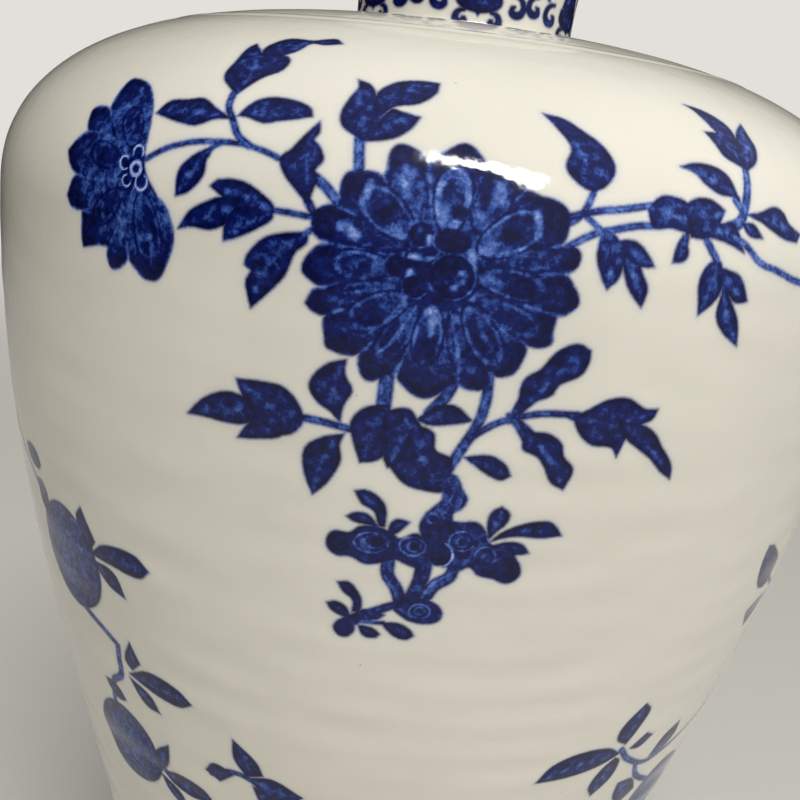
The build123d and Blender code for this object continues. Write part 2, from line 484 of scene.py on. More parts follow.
def groundFill(*points, tone=0.80):
    # The first even coat under a flower
    loop = softLine(points)

    def draw(x, v):
        d = insideBy(x, v, loop)
        return d, np.full(x.shape, tone)

    return {"box": boxOf(loop, brush["margin"]), "draw": draw}


def spot(x0, v0, radius, tone=0.85, rim=0.92, ringAt=None, ringTone=0.3):
    # A round dab, with a paler or darker ring inside it where ringAt is given
    def draw(x, v):
        d = radius - np.hypot(x - x0, v - v0)
        t = tone + (rim - tone) * (1 - smooth(0.2, 0.9, d))
        if ringAt is not None:
            on = 1 - smooth(0.14, 0.42, np.abs(d - (radius - ringAt)))
            t = t * (1 - on) + ringTone * on
        return d, t

    return {"box": boxOf([(x0, v0)], radius + brush["margin"]), "draw": draw}


def wash(x0, v0, wide, high, lean, tone):
    # A soft lighter or darker patch inside what is painted already
    c, sn = math.cos(lean * turnDeg), math.sin(lean * turnDeg)

    def draw(x, v):
        dx, dv = x - x0, v - v0
        along = (dx * c + dv * sn) / (wide / 2)
        across = (dv * c - dx * sn) / (high / 2)
        return (1 - np.hypot(along, across)) * min(wide, high) / 2, np.full(x.shape, tone)

    return {"box": boxOf([(x0, v0)], max(wide, high) / 2), "draw": draw, "soft": 0.45}


def washes(*patches):
    return [wash(*patch) for patch in patches]


def arc(x0, v0, wide, high, start, end, width=0.42, tone=0.30, lean=0.0):
    # A thin line along part of an oval
    c, sn = math.cos(lean * turnDeg), math.sin(lean * turnDeg)
    points = []
    for a in np.linspace(start, end, 9) * turnDeg:
        px, pv = wide / 2 * math.cos(a), high / 2 * math.sin(a)
        points.append((x0 + px * c - pv * sn, v0 + px * sn + pv * c))
    return stem((width * 0.7, width, width * 0.7), *points, tone=tone, edge=0.0)


def stamp(motif, x, v, d, tone):
    # Lays one motif over what is painted already, in d and tone themselves
    x0, x1, v0, v1 = motif["box"]
    hit = np.nonzero((x > x0) & (x < x1) & (v > v0) & (v < v1))[0]
    if not len(hit):
        return
    md, mt = motif["draw"](x[hit], v[hit])
    mt = mt - motif.get("thin", 0.0)
    old = d[hit]
    soft = motif.get("soft", brush["softEdge"])
    cover = smooth(-soft, soft, md)
    near = (md > old) & (cover <= 0)
    mixed = tone[hit] * (1 - cover) + mt * cover
    tone[hit] = np.where(near, np.where(old < -1.0, mt, tone[hit]), mixed)
    d[hit] = np.maximum(old, md)


def paintAt(theta, s, sprays):
    # Signed distance to the painting, above zero on it, and its tone, 0 pale to
    # 1 dark, for points of the surface
    theta = np.ravel(theta)
    s = np.ravel(s)
    d = np.full(theta.shape, bare["paint"])
    tone = np.full(theta.shape, bare["tone"])
    r, _ = outer.at(s)
    for spray in sprays:
        away = (theta - spray["turn"] + math.pi) % (2 * math.pi) - math.pi
        x = away * r * spray.get("hand", 1)
        v = s - spray.get("start", widest) - spray.get("lift", 0.0)
        for motif in spray["motifs"]:
            stamp(motif, x, v, d, tone)
    return d, tone


def facing(degrees):
    # Turn of a chart: 0 is the side that the photo shows, then to its right
    return (degrees - 90) * turnDeg


# Skins: a grid in (turn, length) that splits where there is painting
levels = finest.bit_length() - 1
splitMargin = 0.35  # a cell this far outside the painting still splits
sharpAngle = 38 * turnDeg  # where a section turns more, its edge is sharp


def rowPlaces(low, high, step, fixed):
    marks = sorted({low, high, *[f for f in fixed if low < f < high]})
    rows = [low]
    for a, c in zip(marks[:-1], marks[1:]):
        count = max(1, int(math.ceil((c - a) / step - 1e-6)))
        rows += list(a + (c - a) * (np.arange(count) + 1) / count)
    return np.array(rows)


def grow(mask):
    up = np.vstack([mask[1:], mask[-1:]]) | mask | np.vstack([mask[:1], mask[:-1]])
    return up | np.roll(up, 1, 1) | np.roll(up, -1, 1)


def parents(mask):
    return mask[0::2, 0::2] | mask[1::2, 0::2] | mask[0::2, 1::2] | mask[1::2, 1::2]


def children(mask):
    return np.repeat(np.repeat(mask, 2, 0), 2, 1)


def cellsToSplit(placeS, placeT, sprays, fineZone):
    # For each level, the cells that split. The last split is in the fine zone
    # only, and neighbours differ by one level at most.
    nj, ni = len(placeS) - 1, len(placeT)
    want = []
    allowed = np.ones((nj // finest, ni // finest), bool)
    for level in range(levels):
        size = finest >> level
        high = np.diff(placeS[0::size])
        mid = placeS[0:nj:size] + high / 2
        turn = placeT[0:ni:size] + math.pi / ni * size
        wide = 2 * math.pi / ni * size * outer.at(mid)[0]
        split = np.zeros(allowed.shape, bool)
        jj, ii = np.nonzero(allowed)
        if len(jj):
            d, _ = paintAt(turn[ii], mid[jj], sprays)
            near = d > -(np.hypot(high[jj], wide[jj]) / 2 + splitMargin)
            if level == levels - 1:
                near &= fineZone(turn[ii], mid[jj])
            split[jj, ii] = near
        want.append(split)
        allowed = children(split)
    for level in range(levels - 1, 0, -1):
        want[level - 1] = want[level - 1] | parents(grow(want[level]))
    return want


def splitGrid(rows, cols, sprays, fineZone):
    nj, ni = (len(rows) - 1) * finest, cols * finest
    placeS = np.interp(np.arange(nj + 1) / finest, np.arange(len(rows)), rows)
    placeT = np.arange(ni) * 2 * math.pi / ni
    want = cellsToSplit(placeS, placeT, sprays, fineZone)
    cells = [~want[0]]
    for level in range(1, levels + 1):
        exists = children(want[level - 1])
        cells.append(exists & ~want[level] if level < levels else exists)
    used = np.zeros((nj + 1, ni), bool)
    for level, here in enumerate(cells):
        size = finest >> level
        jj, ii = np.nonzero(here)
        for dj, di in ((0, 0), (0, size), (size, 0), (size, size)):
            used[jj * size + dj, (ii * size + di) % ni] = True
    index = np.full(used.shape, -1)
    index[used] = np.arange(used.sum())
    loops, counts = [], []
    for level, here in enumerate(cells):
        size = finest >> level
        half = size // 2
        jj, ii = np.nonzero(here)
        jj, ii = jj * size, ii * size
        steps = [(0, 0), (0, size), (size, size), (size, 0)]
        if half:
            middles = [(0, half), (half, size), (size, half), (half, 0)]
            steps = [step for pair in zip(steps, middles) for step in pair]
        corner = np.stack([index[jj + dj, (ii + di) % ni] for dj, di in steps], 1)
        loops.append(corner[corner >= 0])
        counts.append((corner >= 0).sum(1))
    uj, ui = np.nonzero(used)
    return {
        "turn": placeT[ui],
        "s": placeS[uj],
        "loops": np.concatenate(loops),
        "counts": np.concatenate(counts),
        "low": index[0],
        "high": index[-1],
    }


def ringNormals(line):
    # A normal for each end of each stretch of a section, soft where it bends
    # gently and sharp where it turns
    step = np.diff(line, axis=0)
    n = np.stack([step[:, 1], -step[:, 0]], 1) / np.hypot(*step.T)[:, None]
    startN, endN = n.copy(), n.copy()
    for k in range(1, len(n)):
        if (n[k - 1] * n[k]).sum() > math.cos(sharpAngle):
            mean = n[k - 1] + n[k]
            mean = mean / np.hypot(*mean)
            endN[k - 1] = startN[k] = mean
    return startN, endN


def roundAxis(flat, angles):
    # Places or normals of a section (radial, upright), turned round the axis
    flat, angles = np.array(flat), np.array(angles)
    across, up = np.broadcast_to(flat, (len(angles), 2)).T
    return np.stack([across * np.cos(angles), across * np.sin(angles), up], -1)


def edgeStrip(row, ring, turn, skinNormal, ringNormal, skinFirst):
    # Faces between the skin's edge, which may have more points, and a ring
    cols = len(turn)
    cell = 2 * math.pi / cols
    for i in range(cols):
        ringEnds = [ring[i], ring[(i + 1) % cols]]
        part = row[i * finest:(i + 1) * finest]
        there = np.nonzero(part >= 0)[0]
        ids = [*part[there], row[(i + 1) * finest % len(row)]]
        angles = [*(turn[i] + cell * there / finest), turn[i] + cell]
        normals = [skinNormal] * len(ids)
        if skinFirst:
            corners = ids + ringEnds[::-1]
            normals = normals + [ringNormal] * 2
            angles = angles + [angles[-1], angles[0]]
        else:
            corners = ringEnds + ids[::-1]
            normals = [ringNormal] * 2 + normals
            angles = [angles[0], angles[-1]] + angles[::-1]
        yield np.array(corners), roundAxis(normals, angles)


def pointValues(mesh, name, values):
    made = mesh.attributes.new(name, "FLOAT", "POINT")
    made.data.foreach_set("value", values.astype(np.float32))


def meshFrom(name, points, loops, counts, normals, paint):
    mesh = bpy.data.meshes.new(name)
    mesh.vertices.add(len(points))
    mesh.vertices.foreach_set("co", (np.asarray(points) * mm).astype(np.float32).ravel())
    mesh.loops.add(len(loops))
    mesh.loops.foreach_set("vertex_index", loops.astype(np.int32))
    mesh.polygons.add(len(counts))
    starts = np.concatenate([[0], np.cumsum(counts)[:-1]])
    mesh.polygons.foreach_set("loop_start", starts.astype(np.int32))
    mesh.update(calc_edges=True)
    mesh.validate()
    mesh.polygons.foreach_set("use_smooth", np.ones(len(counts), bool))
    for key, values in paint.items():
        pointValues(mesh, key, values)
    mesh.normals_split_custom_set(np.asarray(normals, np.float32).tolist())
    thing = bpy.data.objects.new(name, mesh)
    bpy.context.scene.collection.objects.link(thing)
    return thing


def nowhere(turn, s):
    return np.zeros(turn.shape, bool)


def skinPiece(name, ends, section, cols=columns, step=2.3, fixed=(), sprays=(), fineZone=nowhere):
    # A closed piece: the painted skin between its two ends, and the rest of its
    # section as rings. The section starts and stops at the skin's edges.
    grid = splitGrid(rowPlaces(*ends, step, fixed), cols, sprays, fineZone)
    d, tone = paintAt(grid["turn"], grid["s"], sprays)
    points = [surfacePoint(grid["turn"], grid["s"])]
    skinCount = len(points[0])
    loops = [grid["loops"]]
    counts = [grid["counts"]]
    normals = [surfaceNormal(grid["turn"], grid["s"])[grid["loops"]]]
    line = np.array(section, float)
    turn = np.arange(cols) * 2 * math.pi / cols
    nextTurn = turn + 2 * math.pi / cols
    startN, endN = ringNormals(line)
    rings = [skinCount + cols * k + np.arange(cols) for k in range(len(line) - 2)]
    points += [roundAxis(place, turn) for place in line[1:-1]]
    strips = list(edgeStrip(grid["high"], rings[0], turn, startN[0], endN[0], True))
    for k in range(1, len(line) - 2):
        a, c = rings[k - 1], rings[k]
        quads = np.stack([a, np.roll(a, -1), np.roll(c, -1), c], 1)
        ways = [(startN, turn), (startN, nextTurn), (endN, nextTurn), (endN, turn)]
        strips.append((quads, np.stack([roundAxis(n[k], angles) for n, angles in ways], 1)))
    strips += edgeStrip(grid["low"], rings[-1], turn, endN[-1], startN[-1], False)
    for corners, cornerNormals in strips:
        loops.append(corners.ravel())
        counts.append(np.full(len(corners), 4) if corners.ndim == 2 else [len(corners)])
        normals.append(cornerNormals.reshape(-1, 3))
    points = np.concatenate(points)
    counts = np.concatenate(counts)
    rest = len(points) - skinCount
    paint = {
        "paint": np.concatenate([d, np.full(rest, bare["paint"])]),
        "tone": np.concatenate([tone, np.full(rest, bare["tone"])]),
    }
    thing = meshFrom(name, points, np.concatenate(loops), counts, np.concatenate(normals), paint)
    print(name, "has", int((counts - 2).sum()), "triangles")
    return thing


# The painting. Charts are in millimetres: x round the vase, v along its
# outline, up from the widest place.
def outerPetal(centre, *points):
    # A petal of the outer ring, whose sides run on towards the centre
    rootShare = 0.34
    c = np.array(centre, float)
    last, first = [tuple(c + (np.array(points[end], float) - c) * rootShare) for end in (-1, 0)]
    return petal(centre, *points, last, first)


mainCentre = (1.5, -1.0)
mainTips = [
    [(-15.7, 7.3), (-15.1, 12.3), (-11.9, 13.3), (-9.1, 12.6)],
    [(-9.1, 12.6), (-8.8, 13.9), (-8.6, 17), (-7.3, 18.4), (-4.4, 17.6), (-2.6, 15.4)],
    [(-2.6, 15.4), (-1.6, 16.7), (1.5, 19.5), (3.1, 19.9), (4.6, 18.9), (6.2, 16.2)],
    [(6.2, 16.2), (7.4, 16.7), (9.4, 16.3), (11.6, 15), (12.6, 13.2)],
    [(12.6, 13.2), (15.3, 12.7), (17.8, 12.3), (19.9, 10.8), (20.3, 8.6), (19.3, 5.4)],
    [(19.3, 5.4), (21.8, 5.4), (22.8, 4.2), (22.4, 2.3), (20.6, 1.1)],
    [(20.6, 1.1), (22.4, -.5), (23.6, -2.4), (23.4, -3.9), (20.6, -5.5)],
    [(20.6, -5.5), (20.3, -8), (20.4, -9.9), (18.7, -10.8), (16.2, -10.5)],
    [(16.2, -10.5), (16, -13.6), (14.6, -15.7), (11.5, -15.8)],
    [(11.5, -15.8), (10.9, -18.3), (8.7, -18.8), (6.5, -18)],
    [(6.5, -18), (4, -19.9), (1.5, -21.1), (-1.3, -20.2), (-3.5, -17.4)],
    [(-3.5, -17.4), (-6, -18.9), (-8.2, -19.4), (-9.6, -17.4), (-9.6, -15.2)],
    [(-9.6, -15.2), (-14.8, -15.2), (-15.7, -13), (-15.7, -9.9)],
    [(-15.7, -9.9), (-17.9, -9.6), (-19.3, -8.5), (-18.2, -6.1), (-16.6, -5.5)],
    [(-16.6, -5.5), (-19.1, -4.6), (-20.4, -3.1), (-19.1, -.2), (-16.6, 1.4)],
    [(-16.6, 1.4), (-18.8, 2.3), (-19.6, 4.5), (-18.8, 6.4), (-15.7, 7.3)],
]
mainOvals = [
    ((-3.0, 5.0), (-6.6, 15.6), 6.6, {"core": 0.50, "band": 0.54, "rootTone": 0.30}),
    ((6.0, 5.6), (9.6, 15.0), 6.4, {"core": 0.56, "band": 0.52, "rootTone": 0.34}),
    ((8.0, 1.8), (20.6, 3.4), 4.6, {"core": 0.76, "band": 0.56}),
    ((7.4, -4.2), (19.0, -8.8), 5.4, {"core": 0.74, "band": 0.54}),
    ((-4.0, 2.4), (-17.0, 4.6), 5.0, {"core": 0.66, "band": 0.56}),
    ((-3.6, -3.8), (-16.6, -7.2), 4.8, {"core": 0.76, "band": 0.52}),
    ((-1.2, -6.0), (-7.2, -17.0), 5.6, {"core": 0.78, "band": 0.54}),
    ((4.0, -6.2), (8.4, -17.4), 5.4, {"core": 0.72, "band": 0.50}),
    ((-3.2, 3.6), (-12.6, 10.8), 7.4, {"core": 0.76, "band": 0.32, "rootTone": 0.50}),
    ((6.4, 2.8), (16.4, 9.6), 7.6, {"core": 0.78, "band": 0.30, "rootTone": 0.34}),
    ((-5.8, -1.0), (-16.2, -1.6), 5.8, {"core": 0.74, "band": 0.42, "rootTone": 0.36}),
    ((6.4, -.6), (18.8, -2.0), 6.0, {"core": 0.78, "band": 0.42, "rootTone": 0.46}),
    ((-2.6, -4.8), (-12.6, -11.0), 6.6, {"core": 0.78, "band": 0.40, "rootTone": 0.56}),
    ((5.8, -4.8), (12.6, -15.0), 6.4, {"core": 0.80, "band": 0.38, "rootTone": 0.62}),
    ((1.6, 4.6), (2.0, 16.4), 7.2, {"core": 0.70, "band": 0.24, "rootTone": 0.30, "bandWidth": 1.5}),
    ((1.0, -5.4), (.5, -15.9), 6.0, {"core": 0.80, "band": 0.36, "rootTone": 0.34}),
]
mainTouches = [
    *washes((-11.2, 10.6, 1.4, 3.4, 0, 0.20), (-13.4, 3.8, 4.4, 1.8, -20, 0.26),
            (-5.6, 12.4, 2.0, 4.0, 8, 0.28), (8.8, 12.2, 2.2, 4.6, -8, 0.22),
            (6.5, 12.4, 1.3, 6.0, 0, 0.86), (15.4, 8.0, 1.3, 5.4, 8, 0.20),
            (2.4, 12.6, 1.6, 2.0, 0, 0.46), (3.2, 8.5, 2.4, 2.2, 0, 0.90), (1.6, 7.0, 1.6, 1.6, 0, 0.28),
            (1.1, -8.8, 1.2, 4.4, 2, 0.12), (.4, -13.2, 3.6, 3.4, 0, 0.88),
            (-8.0, -.8, 2.4, 1.8, 0, 0.30), (-12.4, -1.4, 2.2, 1.2, 0, 0.45),
            (9.2, -.9, 3.4, 1.6, 0, 0.34), (14.4, -2.4, 4.0, 1.8, -8, 0.92),
            (-6.0, -6.6, 3.2, 1.5, 32, 0.40), (9.4, -9.6, 1.1, 5.4, 32, 0.42),
            (-8.6, 7.2, 3.6, 2.6, -40, 0.88), (-6.2, 5.2, 1.8, 1.8, 0, 0.40),
            (11.4, 6.4, 4.4, 2.4, 30, 0.90), (7.4, 3.2, 1.4, 1.4, 0, 0.16)),
    stem((0.3, 0.8, 0.5), (-1.7, -6.4), (-3.2, -9.6), (-5.0, -12.8), (-7.0, -14.8), tone=0.32,
         edge=0.05),
    stem((0.3, 0.7, 0.4), (-3.8, -5.6), (-5.4, -8.6), (-8.6, -11.8), tone=0.38, edge=0.05),
    stem((0.3, 0.8, 0.5), (3.6, -6.2), (5.0, -10.2), (6.0, -14.2), (6.4, -17.4), tone=0.36, edge=0.05),
    stem((0.3, 0.7, 0.4), (7.6, -5.2), (11.0, -7.6), (14.6, -10.2), tone=0.38, edge=0.05),
    stem((0.3, 0.6, 0.3), (8.6, 2.6), (12.0, 3.2), (16.4, 3.4), tone=0.42, edge=0.05),
    stem((0.3, 0.6, 0.3), (-5.4, -4.0), (-10.0, -5.2), (-14.6, -6.2), tone=0.42, edge=0.05),
    spot(-2.3, 4.6, 1.9, tone=0.86, rim=0.92), spot(-5.5, -.7, 1.7, tone=0.84, rim=0.92),
    spot(-2.3, -3.4, 1.9, tone=0.88, rim=0.92), wash(2.6, 4.2, 5.8, 3.6, 0, 0.92),
    wash(-1.2, .5, 2.2, 1.8, 0, 0.86),
    arc(3.2, -1.3, 7.2, 7.0, -100, 150, width=0.6, tone=0.40),
    arc(2.7, 4.1, 6.2, 4.0, 150, 400, width=0.5, tone=0.46),
    arc(-2.3, 4.6, 4.0, 4.0, 60, 300, width=0.5, tone=0.46),
    arc(-5.5, -.7, 3.4, 3.8, 60, 300, width=0.5, tone=0.48),
    arc(-2.3, -3.4, 4.0, 3.8, 90, 330, width=0.5, tone=0.48),
    stem((0.4, 0.8, 0.4), (-3.8, 1.0), (-1.6, .9), (.2, 1.4), (.9, 2.4), tone=0.30, edge=0.05),
    *washes((1.9, -.4, 2.0, 2.6, 20, 0.74), (3.8, -3.4, 2.4, 1.0, 0, 0.50),
            (1.4, 4.4, 1.4, 1.0, 0, 0.72), (-2.6, 5.2, 1.2, 1.0, 0, 0.6), (.7, -3.1, 1.3, 1.8, 30, 0.30),
            (5.9, 1.7, 1.6, 3.6, 18, 0.10), (-1.0, 3.9, 1.0, 2.0, 0, 0.02),
            (-2.8, 1.2, 2.2, 1.1, 0, 0.04), (-3.3, -1.3, 1.0, 1.6, 0, 0.08)),
    spot(3.2, -1.3, 3.4, tone=0.86, rim=0.95), wash(4.6, -1.3, 2.6, 2.4, 20, 0.46),
    *washes((4.6, -.5, 1.5, 0.9, 20, 0.16), (5.0, -1.9, 1.0, 1.0, 0, 0.18),
            (3.7, -2.8, 1.2, 0.9, 0, 0.22), (2.5, -2.2, 0.9, 0.9, 0, 0.34)),
]


def mainFlower():
    made = [groundFill(*[tip for tips in mainTips for tip in tips[:-1]])]
    made += [outerPetal(mainCentre, *tips) for tips in mainTips[::2] + mainTips[1::2]]
    made += [ovalPetal(root, tip, width, **look) for root, tip, width, look in mainOvals]
    return made + mainTouches


halfCentre = (-53.5, 8.5)


def halfFlower():
    c = halfCentre
    made = [
        groundFill((-62.9, 17.6), (-58, 22), (-52.4, 18), (-51.9, 12.3), (-51, 8), (-47, 3), (-46, -5),
                   (-53.5, -6.3), (-62, -4), (-66, .1), (-68.5, 4.8), (-67.4, 13.4)),
        petal(c, (-68.4, 16.8), (-67.6, 18), (-65, 18.6), (-62.9, 17.8), (-60, 12), (-64, 11.6),
              (-67.8, 13.6)),
        petal(c, (-66.4, -.4), (-66.2, -5), (-65.6, -6.7), (-60, -5.6), (-57, -6.2), (-55, -2),
              (-55.4, 4), (-60, 3), (-63, 0), deep=0.08),
        petal(c, (-58.9, -6.2), (-58.6, -8), (-57.4, -9.2), (-55, -8.4), (-53.6, -6.6), (-53.6, -1),
              (-55.6, 3), (-57, -2), deep=-0.06),
        petal(c, (-69, 5.4), (-71.2, 1.6), (-69.6, -.2), (-66, -.4), (-62, .6), (-57, 4), (-56, 6.4),
              (-62, 5.6)),
        petal(c, (-67.6, 13.4), (-70, 12), (-72.7, 9.4), (-71.4, 7.2), (-69, 5.6), (-64, 5), (-58, 6),
              (-55.6, 9), (-59, 12.6), (-63, 13.6)),
        petal(c, (-63, 18), (-62.6, 21), (-61, 24.6), (-59.6, 25.3), (-56, 24.6), (-54, 22.8),
              (-52.4, 19.6), (-52, 16), (-52, 12), (-53.6, 10), (-57, 11), (-60, 14)),
        petal(c, (-51, 7.4), (-48.6, 4.8), (-46, 3.2), (-44.4, .6), (-43.8, -2.4), (-44.8, -6),
              (-46.6, -9.2), (-49.4, -9.6), (-51.6, -8.4), (-53.6, -6.6), (-54.8, -2), (-54.2, 3),
              (-52.8, 6)),
        ovalPetal((-54.6, 11.6), (-57.2, 19.2), 6.0, band=0.54),
        ovalPetal((-57.0, 9.0), (-65.6, 10.4), 5.4, band=0.60, core=0.86),
        ovalPetal((-55.8, 4.4), (-63.0, -2.0), 5.4, band=0.58, core=0.88),
        ovalPetal((-51.6, 5.0), (-47.8, -7.4), 7.0, band=0.54, rootTone=0.66),
    *washes((-56.8, 21.6, 1.6, 4.0, -10, 0.50), (-56.0, 16.0, 1.0, 3.4, 8, 0.50),
            (-50.0, -2.6, 3.6, 1.7, 10, 0.38), (-48.3, -5.2, 1.0, 4.0, 5, 0.50),
            (-51.6, 3.4, 1.2, 2.6, 0, 0.48), (-60.6, .6, 1.4, 3.6, 10, 0.56),
            (-57.0, -4.8, 1.6, 2.8, 0, 0.58), (-65.0, 4.2, 3.6, 1.0, 5, 0.54),
            (-63.6, 15.6, 1.2, 3.6, 0, 0.60), (-55.0, 3.4, 2.4, 2.0, 0, 0.44),
            (-58.6, 18.4, 1.0, 3.0, -20, 0.40)),
    ]
    florets = (
        (-53.3, 11.1, -30, 210, 2.3), (-56.1, 9.0, 50, 310, 2.3),
        (-55.1, 6.1, 100, 350, 2.0), (-51.7, 6.2, -200, 70, 2.6),
    )
    for x, v, start, end, size in florets:
        made.append(spot(x, v, size * 0.42, tone=0.86, rim=0.8))
        made.append(arc(x, v, size, size, start, end, width=0.5, tone=-0.06))
    made += [spot(-53.3, 8.3, 1.55, tone=0.02, rim=0.02), spot(-53.3, 8.3, 0.72, tone=0.84, rim=0.7)]
    return made


upperLeaves = [
    stem(0.9, (-51.4, 10.1), (-47.4, 12.4), (-42.4, 14.1), (-37.4, 14.8), (-33.1, 14.9), (-29.6, 14.4),
         (-25, 13)),
    stem(1.2, (-36.4, 25.5), (-36.9, 21.6), (-35.6, 19.1), (-33.9, 16.2), (-31.7, 14.8)),
    stem(0.9, (-39, 12.2), (-38.4, 13.6), (-36.8, 14.6)),
    leaf((-51.4, 18.4), (-48.9, 21.2), (-45.3, 21.9), (-42.1, 22.5), (-39.2, 20.9), (-35.6, 19.1),
         (-38.9, 18.7), (-42.4, 17.1), (-46, 17.3), (-49.6, 18)),
    leaf((-34.9, 19.8), (-32.4, 23), (-29.2, 24.4), (-24.6, 24.1), (-22.4, 23), (-21.9, 21.4),
         (-24.6, 20.5), (-27.4, 19.8), (-29.9, 19.1), (-33.1, 19.8)),
    leaf((-32.4, 30), (-34.2, 36.2), (-32.4, 39.8), (-29.6, 41.9), (-25.6, 41.9), (-23.1, 43),
         (-21.4, 43.4), (-20.1, 41.6), (-23.1, 40.5), (-25.6, 40.5), (-27.4, 37.6), (-29.6, 35.3)),
    leaf((-36, 24.1), (-37.4, 25.1), (-39.6, 28), (-38.5, 32.3), (-37.4, 36.6), (-36.1, 38.7),
         (-34.9, 36.9), (-34, 35.6), (-29.2, 35.3), (-28.3, 33.7), (-29.2, 30.9), (-32.1, 28.7),
         (-34.6, 25.9)),
    leaf((-38.3, 13.9), (-41.7, 11.9), (-44.1, 9.1), (-44.1, 4.9), (-41.7, 5.9), (-39.2, 8.7),
         (-38.9, 11.6)),
    stem(0.9, (-28, 5.2), (-23, 5.1), (-18.6, 4.9)),
    leaf((-37.6, 7.4), (-36, 8.7), (-31.7, 8.9), (-28.5, 7.6), (-26, 5.9), (-25.6, 4.8), (-28, 3.6),
         (-34, 5.4)),
    leaf((-43.1, -.2), (-41, 3), (-38.1, 4.8), (-35.2, 6), (-31, 5.6), (-31.6, 3.4), (-34.2, 1.6),
         (-37.1, .5), (-40.3, .5)),
    leaf((-34.2, -.9), (-34.2, 1.8), (-32, 4.8), (-26, 4.8), (-26, 3.7), (-28.9, 1.6), (-31.7, .1)),
    leaf((-19.9, 2.6), (-23.9, 1.9), (-27.2, .6), (-29.7, -2.2), (-30.2, -4), (-28.9, -4.8),
         (-29.7, -6.6), (-29.3, -8.4), (-28.4, -10.8), (-25.2, -7.4), (-23, -4.6), (-21.6, -.8),
         (-19.9, .9)),
    stem(0.9, (-20.6, 2), (-18.6, 3.6)),
    stem(1.3, (-20.6, 7.4), (-19, 5.4), (-16, 4)),
    stem(1.6, (-20, 11.2), (-17.6, 9.6), (-15, 7)),
    leaf((-20.5, 20.7), (-22.9, 17.4), (-24.3, 15.3), (-26, 13.4), (-25, 11), (-22.6, 8.6), (-20, 6.4),
         (-20, 8.6), (-19.3, 10.8), (-19.9, 12.3), (-18.9, 14), (-19.5, 15.8), (-20.9, 17.3),
         (-20.2, 18.8)),
    stem(1.6, (-12.6, 11), (-13.2, 14), (-13.8, 19)),
    leaf((-16.6, 20.1), (-17.4, 22.6), (-16.6, 25.8), (-15.4, 28.9), (-15.7, 30.8), (-13.5, 29.8),
         (-12.3, 27.6), (-11, 23), (-12.6, 17.9)),
    leaf((-12.3, 19.5), (-12.3, 27.6), (-11.3, 29.5), (-9.1, 31.4), (-6, 32.3), (-2.6, 32.3),
         (-2.9, 29.5), (-5.4, 26.7), (-9.4, 25.1)),
    leaf((-12.9, 18), (-11, 22.8), (-9.4, 25.1), (-7.9, 24.6), (-4.8, 23.9), (-6, 21.4), (-8.5, 19.2)),
]

rightBranch = [
    stem((0.9, 1.5), (23.9, 15.5), (22.5, 11.3), (21.1, 9.8), (18, 8)),
    leaf((14.3, 28.1), (17.9, 27.4), (20.7, 25.6), (24.6, 22.7), (26.8, 19.1), (26.1, 16.3),
         (23.6, 14.5), (20.7, 15.6), (18.7, 18.1), (19.3, 21.6), (16.8, 25.2)),
    stem(1.1, (19.5, 9.8), (24.3, 11.3), (28.6, 12.1), (32.9, 13.1), (36, 13.6)),
    stem(1.1, (20.2, 5.2), (24.3, 7.7), (27.9, 8.8), (31.4, 9.7), (36, 10.2)),
    stem(0.9, (22.6, 10.4), (24.4, 9.2), (26.4, 7.6), (28, 6)),
    leaf((28, 7.6), (25.4, 7.7), (25.4, 4.1), (26.8, .9), (27.9, -.6), (29.6, 1.3), (30, 4.9)),
    leaf((28.4, 7.2), (30.4, 2), (31.8, -.5), (34.4, -3), (35, -.1), (33.6, 2.4), (31.6, 6)),
    leaf((28.4, 7), (30, 7.4), (32.1, 7.1), (34.3, 5.2), (35.5, 3.6), (33.2, 3.4), (30.6, 4.4)),
    stem((0.9, 1.6, 2.8), (26, 8.2), (27.6, 7.2), (28.8, 4.6), tone=0.6),
    leaf((40, 9.4), (41.4, 6.3), (40.7, 4.9), (38.6, 4.5), (38.9, 7)),
    stem((2.2, 1.3), (48, 10.6), (51.1, 12), (52.3, 15), (52.7, 18.4), (52.5, 22)),
    stem(0.9, (40.8, 10.6), (40.6, 7.6)),
    stem((1.0, 1.6), (51.6, 14), (50.2, 16)),
    leaf((32.9, 12.6), (35, 14.9), (37.5, 15.2), (40, 14.5), (41.6, 12.4), (41.4, 9.2), (37.9, 9.9),
         (34.3, 9.9)),
    leaf((39.6, 14), (42.1, 15.4), (45, 15.4), (47.9, 13.8), (46.8, 11.2), (45, 8.9), (41.4, 8.8)),
    leaf((45.4, 12), (46.8, 11.6), (50, 11.6), (52.9, 7), (50, 8.1), (47.1, 8.8), (45, 9.1)),
    leaf((44.1, 29.3), (46.8, 29.5), (44.6, 32.4), (42.5, 34.9), (40.6, 36.3), (44.3, 35.4),
         (47.9, 33.4), (50.4, 30.9), (52, 26), (52.6, 21.8), (50.7, 22.7), (47.9, 24.1), (46.1, 26.6)),
    leaf((51.6, 30.2), (53.6, 33.1), (54.6, 30.2), (55.9, 27), (55.4, 23.8), (52.9, 21.6), (51, 25)),
    leaf((38.6, 20.8), (41.8, 21.9), (45.7, 21.6), (48.6, 19.9), (51.1, 15.6), (49.6, 16.3),
         (46.4, 16.6), (43.6, 18.1), (41.4, 19.9)),
    leaf((51.4, 12), (54.3, 12), (56.8, 9.7), (53.6, 9.9)),
    stem(1.2, (44.6, 8.6), (47.9, 4.6)),
    leaf((47.6, 5.2), (45.7, 4.9), (44.3, 2), (45, -1.6), (45.4, -3.6), (47.9, -1.6), (49.2, .6),
         (49, 3.6)),
    leaf((47.8, 4.6), (50, 4.1), (52.9, 3.1), (55.6, -.9), (52.9, -1.2), (50.7, .2), (49, 1.6)),
    leaf((49, 2.4), (49.3, -.1), (49.3, -3.7), (51.8, -6.6), (55.4, -8.6), (54.3, -4.4), (52.1, -1.2)),
]

